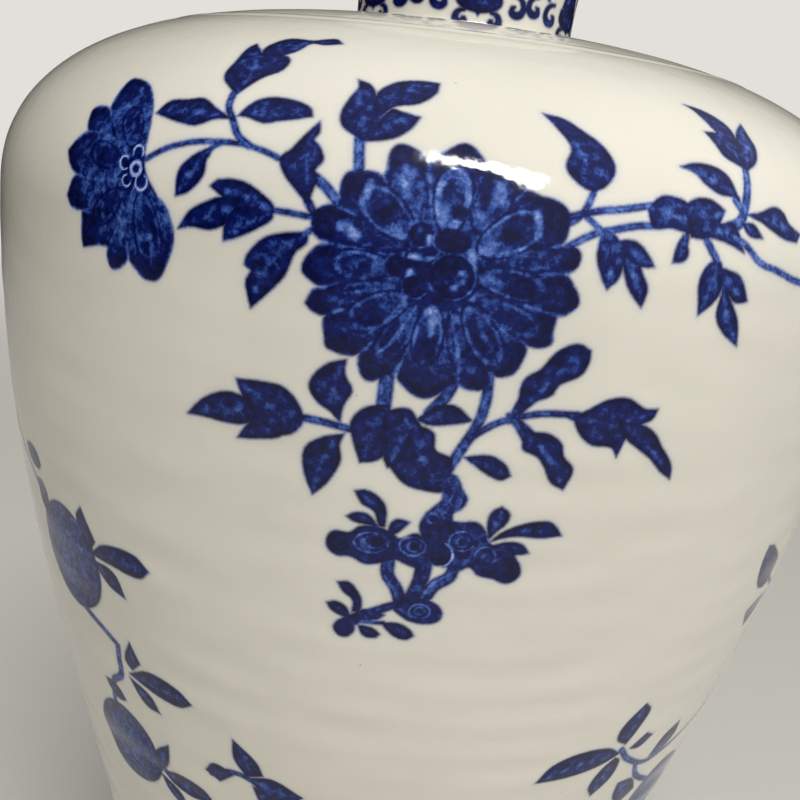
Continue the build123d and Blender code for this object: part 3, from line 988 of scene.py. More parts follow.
# The far end of the branch, which only the front spray has
branchReach = [
    stem(1.0, (48.6, 10.2), (52.9, 8.4), (56.8, 5.7), (61.4, 4.5), (67.1, 2.9), (74, 2.6), (80, 5)),
    leaf((51.6, 13.6), (55.7, 14.1), (59.3, 15.4), (61.8, 14.5), (63.2, 12.7), (66.5, 11), (65.7, 9.5),
         (62.1, 9.9), (58.6, 11.3), (55.7, 12.6)),
    leaf((78, 4), (79, 9), (82.5, 13.5), (86.5, 12), (88, 7), (85, 3.5), (81.5, 2)),
    leaf((79, 3.4), (83, 4.6), (87.5, 2.4), (87, -2.6), (82.6, -3.6), (79.4, -.6)),
    leaf((77.5, 4.4), (77, 9), (79.6, 15), (77.4, 18.6), (74.6, 14), (74.8, 8)),
]

# The wash is thinner to the right, and a little so above the flower
for motif in rightBranch + branchReach:
    motif["thin"] = 0.11
for motif in upperLeaves:
    motif["thin"] = 0.04

lowerCluster = [
    stem(2.4, (-4.9, -18), (-4.9, -23.1)),
    stem(2.0, (5.7, -18), (4.6, -20.6), (2.6, -23.6)),
    stem(1.7, (11.1, -15), (11.3, -20.3), (10.5, -24.6), (8.4, -29.2), (7, -32.4)),
    stem(1.1, (9.6, -27), (13.3, -24.1), (16.9, -22.6), (21.1, -21.6), (27, -21.4)),
    stem(1.2, (-19, -27.4), (-14, -27.6), (-8.5, -28.2)),
    stem(1.3, (17.2, -21.4), (15.6, -23.2)),
    stem((2.6, 1.4, 1.0), (18.6, -17.4), (16.8, -20.6), (15.8, -22.8), tone=0.6),
    stem((1.0, 1.7, 2.8), (15.4, -22.4), (17.3, -23.8), (19.8, -26.4), tone=0.6),
    stem((1.1, 2.8), (25.4, -21.5), (29.6, -22.4), tone=0.6),
    leaf((-21, -29), (-21.3, -31.4), (-25.6, -32.8), (-29.3, -33.4), (-27.7, -30.6), (-25, -27.4)),
    leaf((-39.3, -31.2), (-36.3, -27.8), (-32, -25.6), (-28, -26), (-25, -28), (-27.4, -30.4),
         (-31.3, -31.1), (-35.6, -31)),
    leaf((-30.2, -23), (-25.6, -22.6), (-21.3, -23), (-18, -26.6), (-18.2, -29.2), (-21.3, -31.2),
         (-26, -29), (-28.6, -26.2)),
    leaf((-11.6, -16.4), (-14.9, -17.8), (-17.4, -21.4), (-15.9, -24.2), (-13.4, -25.6), (-11.6, -27.4),
         (-11.3, -24.2), (-10.2, -21.4), (-11.6, -18.9)),
    leaf((-10.6, -28.9), (-14.5, -30.3), (-17.2, -32.8), (-17, -36.7), (-15.1, -40.9), (-12.7, -38.1),
         (-10.9, -33.9), (-11.3, -31)),
    leaf((-9.9, -26.7), (-7.7, -23.9), (-4.1, -22.9), (-2.4, -26), (-3.4, -31), (-4.9, -32.8),
         (-7.7, -33.7), (-9.2, -30)),
    leaf((-4.6, -24), (-.9, -23.1), (.9, -24.9), (3, -28), (1.8, -32), (-3.1, -33.9), (-4.5, -30.6)),
    leaf((.4, -25.4), (3.7, -26.7), (4.4, -29.6), (7.3, -31), (7.3, -37.1), (4.4, -37.2), (.1, -36.4),
         (-2.8, -33.6), (-1, -30)),
    leaf((.4, -24.9), (3.7, -22.1), (6.6, -21.7), (9.8, -24), (6.6, -24.9), (3, -25.5)),
    leaf((27.2, -10.5), (24.7, -9.6), (21.5, -11.2), (19.4, -14.1), (16.9, -16.2), (16.5, -20.1),
         (16.9, -22.6), (19.4, -19.8), (21.9, -18.4), (22.9, -16.6), (26.1, -14.8), (27.2, -12.6)),
    leaf((26.1, -21.9), (29, -20.1), (31.9, -18.5), (35.4, -18.1), (39, -19.8), (41.5, -19.8),
         (40.8, -21.6), (39, -22.6), (36.9, -24.6), (35.4, -28.6), (34, -26.9), (30.4, -26.6),
         (27.9, -24.8)),
    leaf((34, -22), (39, -22.6), (41.9, -24.1), (44, -26.6), (46.9, -30.1), (47.4, -32.9), (44.7, -31.2),
         (41.9, -28.7), (39, -26.9), (36.4, -25.1)),
    leaf((17.2, -23.4), (19.4, -24.8), (22.6, -25), (25.1, -26.6), (25.8, -28.7), (27.9, -31.2),
         (26.9, -35), (24.4, -33.7), (22.7, -30.9), (21.1, -29.1), (18.6, -28), (18.3, -25.5)),
    leaf((9, -30.3), (13.3, -29.6), (16.1, -30.9), (17.4, -33), (15.8, -33.9), (13.3, -33),
         (11.1, -31.6)),
    leaf((-8, -38.8), (-6, -38.4), (-3.8, -39.4), (-2.4, -41.2), (-2.2, -44.8), (-3.2, -44.8),
         (-4.4, -42.2), (-6.6, -41)),
    leaf((-9, -43.8), (-7.4, -42.8), (-5.4, -42.8), (-4, -44), (-3, -45.2), (-5, -44.9), (-7.6, -44.6)),
    leaf((-1.8, -45.8), (-1.2, -43.6), (0, -42.9), (1.8, -43.2), (1, -44.4), (-.6, -46)),
    leaf((15.4, -45.4), (14.8, -41.8), (15.2, -39.8), (16.8, -38.6), (18.4, -40), (18, -42),
         (16.6, -43.6)),
    leaf((15.4, -45.8), (17.6, -43.6), (20, -42.2), (23, -41.2), (26, -41.2), (28.3, -43.7),
         (24.7, -44.3), (20.4, -44.2), (17.4, -44.9)),
    leaf((15.8, -46.4), (18.6, -45.4), (21.4, -45.6), (23, -47.4), (21, -47.8), (18.8, -48)),
    stem((2.4, 2.2, 2.4), (-1.0, -50.5), (-.8, -54), (1.0, -56.8), (2.2, -60), tone=0.56),
    stem((3.0, 2.6, 2.4), (5.2, -50), (5.0, -54), (4.2, -57), (3.0, -60.2), tone=0.66),
    stem((2.0, 2.4, 2.2), (10.4, -50.6), (9.8, -53.2), (7.4, -55.2), (6.0, -58), (4.2, -60), tone=0.58),
    groundFill((6.4, -33), (8.6, -34), (9.8, -36.2), (10.8, -37.8), (10.2, -39.6), (8.8, -40.8),
               (9, -43.4), (4.4, -46.4), (3.5, -44), (4, -41.6), (5.4, -39.8), (6.6, -38.2), (6.2, -36),
               tone=0.68),
    groundFill((-11.9, -48.5), (-10.8, -47), (-8.2, -46.8), (-6.6, -45.4), (-4, -44.8), (-1, -45.6),
               (.5, -46.6), (3, -45.2), (5, -46.4), (6.4, -48.6), (6.2, -51.4), (4.4, -52.2), (2, -51.6),
               (0, -51), (-2.2, -52), (-5, -52.6), (-7.6, -51.6), (-10, -51.8), (-11.7, -50.6),
               tone=0.76),
    groundFill((4.2, -44.8), (5, -42.6), (7, -41.8), (10, -42.2), (13, -42), (14.8, -43.6),
               (15.6, -45.6), (17.8, -46.4), (19.6, -46.4), (20.8, -48.4), (22, -50.4), (22, -52.4),
               (20, -53.8), (17.4, -53), (14.6, -52.4), (13, -51), (11, -52), (8.6, -51.2), (6.4, -51),
               (5, -48), tone=0.76),
    *washes((-9.8, -49.2, 4.4, 4.4, 0, 0.94), (19.8, -51, 4.4, 5.0, 0, 0.92),
            (7.8, -49.2, 3.4, 3.6, 0, 0.95), (7.6, -43.4, 4.4, 2.4, 0, 0.9)),
    arc(-4.2, -48.2, 6.0, 4.0, 0, 360, tone=0.34, lean=8), arc(-3.6, -48.0, 3.6, 2.5, 0, 360, tone=0.48),
    wash(-3.3, -48, 1.9, 1.6, 0, 0.96),
    wash(-5.6, -48.6, 1.2, 2.2, 0, 0.40), arc(2.8, -47.9, 4.4, 3.8, -20, 330, tone=0.34),
    arc(3.1, -48.0, 2.3, 2.0, 0, 300, tone=0.44), wash(3.1, -48.1, 1.4, 1.2, 0, 0.95),
    arc(7.2, -49.0, 5.2, 5.2, -62, 66, width=0.55, tone=0.06),
    arc(11, -45.9, 4.4, 3.8, 20, 340, tone=0.36), arc(11.3, -46, 2.3, 2.0, 0, 300, tone=0.48),
    arc(15.4, -48.7, 3.6, 4.2, -80, 200, tone=0.38), wash(15.4, -48.8, 1.6, 1.8, 0, 0.5),
    arc(18.6, -50.8, 4.0, 4.6, 100, 190, tone=0.5), wash(12.2, -50.2, 1.0, 1.6, 0, 0.42),
    *[arc(x, v, wide, high, 0, 360, width=width, tone=tone) for x, v, wide, high, width, tone in (
        (7.5, -36.7, 1.9, 1.9, 0.34, 0.42), (8.9, -38.4, 2.0, 1.9, 0.34, 0.42),
        (7.0, -39.9, 1.9, 1.7, 0.34, 0.42), (5.6, -42.0, 1.9, 2.0, 0.34, 0.44),
        (8.0, -34.8, 1.6, 1.4, 0.30, 0.46),
    )],
    stem((0.4, 0.7, 0.4), (-1.6, -51.8), (-1.5, -54), (.4, -57), (1.6, -59.6), tone=0.34, edge=0.05),
    stem((0.4, 0.7, 0.4), (9.0, -53.2), (7.0, -55.0), (5.6, -58), tone=0.34, edge=0.05),
    stem((1.5, 1.7, 1.8), (1.8, -59.8), (-.8, -61.2), (-2.4, -62.2), (-5, -63.4), tone=0.62),
    groundFill((1.8, -59.6), (3.4, -58.8), (6, -58.2), (8.4, -59.2), (9.6, -61), (9, -62.8),
               (6.6, -63.6), (4, -63.3), (2.4, -62.4), (.8, -61.2), tone=0.80),
    arc(5.6, -61.0, 3.6, 3.0, -60, 260, tone=0.34), arc(5.6, -60.9, 1.8, 1.5, 0, 320, tone=0.46),
    stem((0.3, 0.6, 0.3), (.4, -60.9), (2.4, -61.2), (4.4, -62.6), tone=0.40, edge=0.05),
    groundFill((-8, -64.6), (-6, -63.2), (-4.4, -62), (-2, -61.8), (-.4, -62.6), (-1.6, -63.8),
               (-4, -64.8), (-6, -66), tone=0.76),
    stem((0.9, 0.8), (-4.2, -64.7), (-.4, -64.4), tone=0.5),
    leaf((-.8, -64.4), (2, -64), (4.2, -65), (5.2, -66.4), (4, -67.4), (2, -67.2), (0, -65.6),
         deep=0.08),
    leaf((-5, -65.6), (-2.4, -65.8), (-.8, -67), (-1.6, -67.9), (-3.8, -67.8), deep=0.08),
    groundFill((-9.2, -66.4), (-8, -64.8), (-6.4, -65), (-5.4, -66.6), (-6.4, -68.4), (-7.8, -68.7),
               (-9, -67.8), tone=0.92),
    leaf((-9.3, -57.2), (-7.4, -56.8), (-5.8, -58.2), (-4.8, -60), (-4.8, -62.4), (-6.2, -63),
         (-6.4, -60.4), (-8.2, -59), deep=0.06),
    leaf((-10.9, -61.8), (-9.2, -61.2), (-7.4, -62), (-6.2, -64.2), (-8, -64.2), (-10, -63.2),
         deep=0.06),
]


def fruit(x0, v0, radius):
    # A round fruit with three dark lobes crowded in it and a paler cheek
    made = [spot(x0, v0, radius, tone=0.60, rim=0.95)]
    reach, size = radius * 0.34, radius * 0.42
    for a in (2.1, 4.3, 6.5):
        made.append(spot(x0 + reach * math.cos(a), v0 + reach * math.sin(a), size, tone=0.5, rim=0.66))
    return made


fruitLeft = fruit(1.6, -74, 12) + [
    stem(1.1, (-29.4, -49), (-25, -54), (-17, -58.6), (-11.6, -62.6), (-6, -66)),
    leaf((-31, -43.4), (-28, -46), (-26.4, -51), (-26.6, -56), (-29, -53.6), (-31.4, -48)),
    leaf((-17.6, -54.4), (-13, -53.4), (-9, -54.6), (-7.6, -56.6), (-10, -58.2), (-15, -57.2)),
    leaf((-12.4, -61), (-9, -60.6), (-6.6, -62.6), (-6.2, -66), (-8.6, -67.4), (-11.2, -65)),
    stem(1.4, (4, -64.5), (7, -64), (11, -66.4), (12.4, -69.4)),
    leaf((10, -59.5), (13.9, -66), (11.7, -68.9), (7.8, -62.8)),
    leaf((11.7, -69.4), (16.7, -65.6), (25.6, -64.4), (29.8, -66.7), (26.7, -69.2), (18.9, -69.4)),
    leaf((12.8, -70.6), (18.9, -71.1), (21.4, -76.1), (16.7, -75), (13.3, -72.2)),
    stem(1.5, (1.2, -83.3), (5.6, -85.6), (11.1, -87.8), (15.6, -90), (14.8, -93.9), (14.4, -98.3),
         (10.5, -102), (8.4, -110)),
    leaf((20, -87.2), (22.2, -91.7), (18.9, -95), (17.2, -92.8)),
    leaf((17.6, -96.4), (24.4, -92.8), (32.2, -93.7), (35.3, -96.1), (31.7, -98.3), (25.6, -98.1)),
    leaf((17.4, -97.4), (23.3, -99.4), (25.3, -103.3), (21.1, -102.8)),
    leaf((7, -103), (9.4, -102.4), (12, -103.4), (13.8, -105.8), (11, -106.8), (8, -105.4)),
] + fruit(11, -118.8, 10.4) + [
    stem(1.3, (19.6, -118), (22, -120), (24, -121.6)),
    leaf((25.6, -111.7), (24.4, -117.4), (21.1, -121.7), (20.6, -116.4)),
    leaf((21.6, -121.2), (27, -119.4), (33, -120.4), (35.4, -123.2), (30, -124.6), (24.6, -123.6)),
    leaf((20.6, -122.4), (22.6, -126.6), (27.2, -130.6), (26.2, -125.6)),
    stem(1.3, (36.6, -114), (42, -111), (47, -112), (50.4, -117)),
    leaf((43.9, -101.4), (48.3, -105.6), (49.4, -109.4), (45.4, -111), (43.3, -106.7)),
    leaf((45.8, -111), (51.6, -109.6), (57.4, -112.6), (54, -115.4), (48.6, -114.6)),
    leaf((42.6, -111.6), (38, -110.4), (35.2, -113.6), (38.4, -115.4)),
    leaf((46.4, -113), (48, -118.6), (52.6, -121.4), (51, -115.6)),
]
fruitRight = [
    stem(1.2, (20, -65), (24.4, -67.6), (28.9, -68.9), (33, -73), (34, -80)),
    leaf((7.2, -52.8), (11.1, -53.9), (20, -60.6), (20, -65), (15.6, -65.6), (11.1, -63.9),
         (7.8, -58.9)),
    leaf((12.2, -71.1), (17.8, -68.9), (27.8, -70.6), (22.2, -73.9), (15.6, -76.1)),
    leaf((28.4, -68.6), (33, -62.4), (39.6, -60), (41, -65.4), (35.6, -69)),
] + fruit(36, -84, 9.5) + [
    stem(1.3, (31, -93), (24, -99), (14, -104), (4, -107), (-4, -108), (-12.4, -103.6), (-16.4, -99.4)),
    leaf((-15.6, -86.7), (-13.1, -89.4), (-14.2, -93.9), (-15.8, -98.2), (-19.4, -95.6), (-19.4, -91.7)),
    leaf((-36.1, -104.4), (-33.9, -100), (-28.9, -97.6), (-21.1, -97.8), (-16.1, -100.6),
         (-21.1, -102.8), (-28.9, -104.2)),
    leaf((-17, -101.6), (-15, -103.3), (-15, -108.3), (-18.3, -113.1), (-20.6, -109.4), (-19.4, -104.3)),
    leaf((-13.6, -100.2), (-10, -96.7), (-7.2, -98.3), (-10.2, -100.8)),
    leaf((-3.4, -107), (-1.4, -101.6), (3.6, -98.6), (4.4, -103.4), (1, -107)),
    stem(1.3, (-8, -106.4), (-4.6, -112), (3.3, -117.2)),
    leaf((-10.6, -112), (-5.6, -112.6), (-2, -117.4), (-5.6, -121), (-9.6, -117)),
] + fruit(10, -123, 10) + [
    leaf((19, -116), (24, -112), (30.6, -112.6), (28.4, -117.4), (22, -119)),
    leaf((20, -121.6), (26.6, -121.4), (31.4, -126), (25.6, -126.8)),
]
sprig = [
    stem(1.2, (-13, -207), (-6, -202), (0, -205), (7, -209), (14, -205)),
    leaf((-14, -207), (-19, -203.6), (-22.4, -206), (-18, -209.6)),
    leaf((-8, -203), (-10.6, -197), (-7, -193), (-4.6, -198)),
    leaf((0, -205), (-1, -198), (3.6, -194), (4.6, -200)),
    leaf((6.4, -208.6), (5, -214), (9.6, -218), (11, -212)),
    leaf((14, -205), (17, -199.6), (22, -199), (20, -204.4)),
    spot(-1.6, -206.6, 2.8, ringAt=1.5, ringTone=0.45),
]
# Where the sprays stand: turn round the vase in degrees, 1 as drawn or -1
# mirrored, and how far up
layout = {
    "large": [(0, 1, 0), (90, 1, 1.5), (176, -1, -2), (261, 1, 2)],
    "fruit": [(-45, 1, fruitLeft), (45, 1, fruitRight), (135, -1, fruitLeft), (225, -1, fruitRight)],
    "sprigs": 8,
    "firstSprig": 22.5,
}
bodySprays = []
for turn, hand, lift in layout["large"]:
    motifs = upperLeaves + rightBranch + (branchReach if turn == 0 else []) + lowerCluster
    motifs = motifs + mainFlower() + halfFlower()
    bodySprays.append({"turn": facing(turn), "hand": hand, "lift": lift, "motifs": motifs})
for turn, hand, motifs in layout["fruit"]:
    bodySprays.append({"turn": facing(turn), "hand": hand, "motifs": motifs})
for k in range(layout["sprigs"]):
    turn = facing(layout["firstSprig"] + 360 / layout["sprigs"] * k)
    bodySprays.append({"turn": turn, "hand": 1 if k % 2 else -1, "motifs": sprig})
print("painting drawn:", sum(len(s["motifs"]) for s in bodySprays), "strokes and leaves")


# Neck band: palmettes with curls between them
neckBandLook = {
    "palmettes": 6,
    "firstTurn": 6.0,
    "girthRadius": 26.45,
    "startRadius": 26.4,
    "startHeight": 315.0,
}
neckBandStart = outer.where(neckBandLook["startRadius"], neckBandLook["startHeight"])
neckPeriod = 2 * math.pi * neckBandLook["girthRadius"] / neckBandLook["palmettes"]


def curl(x0, v0, size, side=1):
    # A comma: a round head that winds in, and a tail
    way = (
        (0.1, 0.0), (0.42, -0.16), (0.36, -0.62), (-0.2, -0.78),
        (-0.78, -0.4), (-0.8, 0.34), (-0.3, 0.9), (0.4, 1.05),
    )
    line = [(x0 + side * size * a, v0 + size * c) for a, c in way]
    return stem((0.5, 1.5, 1.7, 1.3, 0.7), *line, tone=0.74)


neckBand = [
    leaf((-5.0, 2.4), (-5.2, .2), (-3.4, -1.4), (-.6, -2.0), (0, -2.6), (.6, -2.0), (3.4, -1.4),
         (5.2, .2), (5.0, 2.4), (2.6, 3.0), (0, 3.4), (-2.6, 3.0), deep=0.1),
    leaf((-4.6, 2.4), (-3.6, 5.4), (-1.6, 7.0), (0, 8.6), (1.6, 7.0), (3.6, 5.4), (4.6, 2.4), (0, 3.2)),
    *[curl(side * -3.6, -3.2, 1.5, side) for side in (1, -1)],
    *[curl(side * -8.6, .4, 2.2, side) for side in (1, -1)],
    curl(neckPeriod / 2 - .2, 1.2, 2.1),
    *[stem(0.8, (side * -10, 3.4), (side * -12.6, 5.4), (side * -9.4, 7.4), (side * -6.0, 5.6))
      for side in (1, -1)],
]
neckSprays = []
for k in range(neckBandLook["palmettes"]):
    turn = facing(neckBandLook["firstTurn"] + 360 / neckBandLook["palmettes"] * k)
    neckSprays.append({"turn": turn, "start": neckBandStart, "motifs": neckBand})


def bandMotif(v0, width, tone=0.62):
    # A painted ring right round the vase
    def draw(x, v):
        return width / 2 - np.abs(v - v0), np.full(x.shape, tone)

    return {"box": (-1e4, 1e4, v0 - width / 2 - 2.5, v0 + width / 2 + 2.5), "draw": draw}


# Two painted rings above the foot: the wide one, and a thin one further up
footLineLook = {"radius": 64.3, "height": 24.0, "wide": 1.3, "thin": 0.8, "apart": 3.6}
footStart = outer.where(footLineLook["radius"], footLineLook["height"])
footLines = [{
    "turn": 0.0,
    "start": footStart,
    "motifs": [bandMotif(0, footLineLook["wide"]), bandMotif(footLineLook["apart"], footLineLook["thin"])],
}]
print("bands drawn")


# Materials
def linear(*screen):
    # A colour as the screen shows it, 0 to 255, as the shaders need it
    shares = [c / 255 for c in screen]
    return tuple(c / 12.92 if c <= 0.04045 else ((c + 0.055) / 1.055) ** 2.4 for c in shares) + (1.0,)


def link(tree, source, target):
    tree.links.new(source, target)


def setOrLink(tree, socket, value):
    if isinstance(value, (int, float, tuple)):
        socket.default_value = value
    else:
        link(tree, value, socket)


def mathNode(tree, operation, a, c):
    node = tree.nodes.new("ShaderNodeMath")
    node.operation = operation
    setOrLink(tree, node.inputs[0], a)
    setOrLink(tree, node.inputs[1], c)
    return node.outputs[0]


def plus(tree, a, c):
    return mathNode(tree, "ADD", a, c)


def times(tree, a, c):
    return mathNode(tree, "MULTIPLY", a, c)


def swing(tree, value, amount):
    # A noise about zero, this wide
    return times(tree, mathNode(tree, "SUBTRACT", value, 0.5), amount)


def restOf(tree, share):
    return mathNode(tree, "SUBTRACT", 1.0, share)


def between(tree, value, low, high, outLow=0.0, outHigh=1.0):
    node = tree.nodes.new("ShaderNodeMapRange")
    node.interpolation_type = "SMOOTHSTEP"
    link(tree, value, node.inputs["Value"])
    node.inputs["From Min"].default_value = low
    node.inputs["From Max"].default_value = high
    node.inputs["To Min"].default_value = outLow
    node.inputs["To Max"].default_value = outHigh
    return node.outputs["Result"]


def noise(tree, coords, scale, detail=2.0, roughness=0.5):
    node = tree.nodes.new("ShaderNodeTexNoise")
    link(tree, coords, node.inputs["Vector"])
    node.inputs["Scale"].default_value = scale
    node.inputs["Detail"].default_value = detail
    node.inputs["Roughness"].default_value = roughness
    return node.outputs["Fac"]


def mixColour(tree, share, a, c):
    node = tree.nodes.new("ShaderNodeMix")
    node.data_type = "RGBA"
    for place, value in ((0, share), (6, a), (7, c)):
        setOrLink(tree, node.inputs[place], value)
    return node.outputs[2]


def vectorNode(tree, operation, value):
    node = tree.nodes.new("ShaderNodeVectorMath")
    node.operation = operation
    link(tree, value, node.inputs[0])
    return node


def bumpBy(tree, shader, height, strength, distance):
    node = tree.nodes.new("ShaderNodeBump")
    node.inputs["Strength"].default_value = strength
    node.inputs["Distance"].default_value = distance
    link(tree, height, node.inputs["Height"])
    link(tree, node.outputs["Normal"], shader.inputs["Normal"])


def attribute(tree, name):
    node = tree.nodes.new("ShaderNodeAttribute")
    node.attribute_name = name
    return node.outputs["Fac"]


def newMaterial(name):
    material = bpy.data.materials.new(name)
    material.use_nodes = True
    tree = material.node_tree
    shader = tree.nodes["Principled BSDF"]
    coords = tree.nodes.new("ShaderNodeTexCoord").outputs["Object"]
    return material, tree, shader, coords


glazeLook = {
    "glaze": linear(228, 225, 214),
    "shade": linear(212, 209, 197),
    "halo": linear(176, 184, 204),
    "reserve": linear(176, 188, 218),
    "wash": linear(98, 126, 196),
    "mid": linear(46, 76, 152),
    "dark": linear(11, 26, 95),
    "pile": linear(4, 9, 56),
    # painted shade: the grey of the creases at the shoulder ridge, and below how much of it is mixed in
    "creaseShade": linear(120, 116, 106),
    "iron": linear(150, 140, 122),
    "haloShare": 0.34,
    "creaseShadeShare": 0.42,
    "ironShare": 0.45,
    "peelHeight": 0.00016,  # in metres
}
# How many times a metre each noise of the glaze turns over
glazeScales = {
    "ragged": 1500,
    "heaped": 760,
    "pooled": 330,
    "cloud": 28,
    "speck": 95,
    "gloss": 60,
    "peel": 230,
    "finePeel": 900,
}


def glazedPorcelain():
    material, tree, shader, coords = newMaterial("glazed_porcelain_blue_and_white")
    look, scales = glazeLook, glazeScales
    paint = attribute(tree, "paint")
    tone = attribute(tree, "tone")
    shade = attribute(tree, "shade")
    coarse = noise(tree, coords, scales["heaped"], 3, 0.62)
    fine = noise(tree, coords, scales["ragged"], 2, 0.55)
    # ragged soft edge of the brushed cobalt under the glaze
    edge = plus(tree, paint, swing(tree, fine, 0.24))
    cover = between(tree, edge, -0.56, 0.24)
    halo = between(tree, paint, -1.6, 0.1)
    # heaped and piled: mottles and small dark spots where the blue lies thick
    blotch = between(tree, coarse, 0.36, 0.64, -0.14, 0.17)
    pooled = between(tree, noise(tree, coords, scales["pooled"]), 0.34, 0.66, -0.08, 0.09)
    blotch = plus(tree, blotch, pooled)
    inThick = between(tree, tone, 0.0, 0.35, 0.35, 1.0)
    mottled = plus(tree, tone, times(tree, blotch, inThick))
    mottled = plus(tree, mottled, swing(tree, fine, 0.16))
    # the blue thins out where it has run at its edge
    mottled = plus(tree, mottled, between(tree, paint, -0.45, 0.36, -0.34, 0.0))
    ramp = tree.nodes.new("ShaderNodeValToRGB")
    link(tree, mottled, ramp.inputs["Fac"])
    stops = ramp.color_ramp.elements
    stops[0].position, stops[0].color = 0.0, look["reserve"]
    stops[1].position, stops[1].color = 1.0, look["pile"]
    for place, name in ((0.16, "wash"), (0.42, "mid"), (0.66, "dark")):
        stop = stops.new(place)
        stop.color = look[name]
    cloud = noise(tree, coords, scales["cloud"], 3, 0.5)
    ground = mixColour(tree, between(tree, cloud, 0.35, 0.7, 0.0, 0.35), look["glaze"], look["shade"])
    ground = mixColour(tree, times(tree, halo, look["haloShare"]), ground, look["halo"])
    # painted shade: grey lines in the creases at the shoulder ridge, from the shade attribute
    ground = mixColour(tree, times(tree, shade, look["creaseShadeShare"]), ground, look["creaseShade"])
    # scattered pinholes and specks of iron in the glaze
    speck = tree.nodes.new("ShaderNodeTexVoronoi")
    link(tree, coords, speck.inputs["Vector"])
    speck.inputs["Scale"].default_value = scales["speck"]
    dots = between(tree, speck.outputs["Distance"], 0.030, 0.012)
    ground = mixColour(tree, times(tree, dots, look["ironShare"]), ground, look["iron"])
    link(tree, mixColour(tree, cover, ground, ramp.outputs["Color"]), shader.inputs["Base Color"])
    rough = between(tree, noise(tree, coords, scales["gloss"]), 0.3, 0.7, 0.055, 0.11)
    link(tree, rough, shader.inputs["Roughness"])
    shader.inputs["IOR"].default_value = 1.5
    shader.inputs["Specular IOR Level"].default_value = 0.30
    # orange peel of the glaze
    finePeel = times(tree, noise(tree, coords, scales["finePeel"], 1, 0.5), 0.10)
    peel = plus(tree, noise(tree, coords, scales["peel"]), finePeel)
    bumpBy(tree, shader, peel, 0.5, look["peelHeight"])
    return material


slipLook = {
    "colour": linear(206, 196, 178),
    "darker": 0.72,
    "roughness": 0.62,
    "cloudScale": 90,
    "grainScale": 700,
    "grainHeight": 0.0002,  # in metres
}


def slipMaterial():
    material, tree, shader, coords = newMaterial("luting_slip_clay")
    look = slipLook
    cloud = noise(tree, coords, look["cloudScale"], 4, 0.6)
    dark = tuple(c * look["darker"] for c in look["colour"][:3]) + (1.0,)
    colour = mixColour(tree, between(tree, cloud, 0.35, 0.75), look["colour"], dark)
    link(tree, colour, shader.inputs["Base Color"])
    shader.inputs["Roughness"].default_value = look["roughness"]
    grain = noise(tree, coords, look["grainScale"], 4, 0.6)
    bumpBy(tree, shader, grain, 0.5, look["grainHeight"])
    return material


glazed = glazedPorcelain()
slipClay = slipMaterial()
print("materials made")


def dress(thing, material, node):
    thing.data.materials.clear()
    thing.data.materials.append(material)
    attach(thing, "root")
    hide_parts(node)


def creaseShadeLines(thing, places):
    # Painted shade: thin grey lines along creases where shade falls, 1 on the line, 0 beside it
    count = len(thing.data.vertices)
    co = np.empty(count * 3)
    thing.data.vertices.foreach_get("co", co)
    co = co.reshape(-1, 3) / mm
    r = np.hypot(co[:, 0], co[:, 1])
    values = np.zeros(count)
    for radius, height, width in places:
        away = np.hypot(r - radius, co[:, 2] - height)
        values = np.maximum(values, 1 - away / width)
    pointValues(thing.data, "shade", np.clip(values, 0, 1))


# The skins are finest on the side that the photo shows, this many degrees to
# each side of its middle
finestSide = {"middle": 2, "reach": 52}


def frontZone(turn, s):
    away = (turn - facing(finestSide["middle"]) + math.pi) % (2 * math.pi) - math.pi
    return np.abs(away) < finestSide["reach"] * turnDeg


def endsOf(bottom, top):
    return seams[bottom]["s"], seams[top]["s"]


def wallSection(top, bottom, step=9.0):
    # The section of a wall piece from its upper seam, down inside, to its lower
    topFaces, topInner = lapFaces(seams[top], 0.0)
    lowFaces, lowInner = lapFaces(seams[bottom], b["gap"])
    count = max(2, int((topInner - lowInner) / step))
    wall = np.stack(inner.at(np.linspace(topInner, lowInner, count)), 1)
    upperEdge, lowerEdge = seams[top]["place"], seams[bottom]["place"]
    return np.vstack([[upperEdge], topFaces, wall, lowFaces[::-1], [lowerEdge]])


# Upper body: the widest place, with most of the painting, and the ridge of the
# shoulder seam
# the last two values place and size the painted shade line under the ridge
upperBodyPiece = {"ridgeStep": 0.45, "belowRidge": 1.2, "shadeLineBelow": 0.1, "shadeLineWidth": 0.7}
ridgeFoot = seams["shoulder"]["s"] - b["ridgeWidth"]
ridgeRows = list(ridgeFoot + np.arange(-1, 9) * upperBodyPiece["ridgeStep"])
upperBody = skinPiece(
    "upper_body_skin", endsOf("middle", "shoulder"), wallSection("shoulder", "middle"),
    fixed=[*ridgeRows, ridgeFoot - upperBodyPiece["belowRidge"]], sprays=bodySprays, fineZone=frontZone,
)
# a painted shade line in the crease at the foot of the ridge
shadeUnderRidge = outer.at(ridgeFoot - upperBodyPiece["shadeLineBelow"])
creaseShadeLines(upperBody, [(*shadeUnderRidge, upperBodyPiece["shadeLineWidth"])])
dress(upperBody, glazed, "upper_body")

# Middle body: the long widening section
middleBody = skinPiece(
    "middle_body_skin", endsOf("lower", "middle"), wallSection("middle", "lower"),
    sprays=bodySprays, fineZone=frontZone,
)
creaseShadeLines(middleBody, [])
dress(middleBody, glazed, "middle_body")

# Lower body: the waist, with rows of its skin at the two painted rings
lowerBodyPiece = {"columns": 192, "rowsFromRing": (-2.6, -0.65, 0, 0.65, 3.2, 3.6, 4, 6)}
lowerBody = skinPiece(
    "lower_body_skin", endsOf("foot", "lower"), wallSection("lower", "foot"),
    cols=lowerBodyPiece["columns"],
    fixed=[footStart + away for away in lowerBodyPiece["rowsFromRing"]],
    sprays=bodySprays + footLines,
)
creaseShadeLines(lowerBody, [])
dress(lowerBody, glazed, "lower_body")
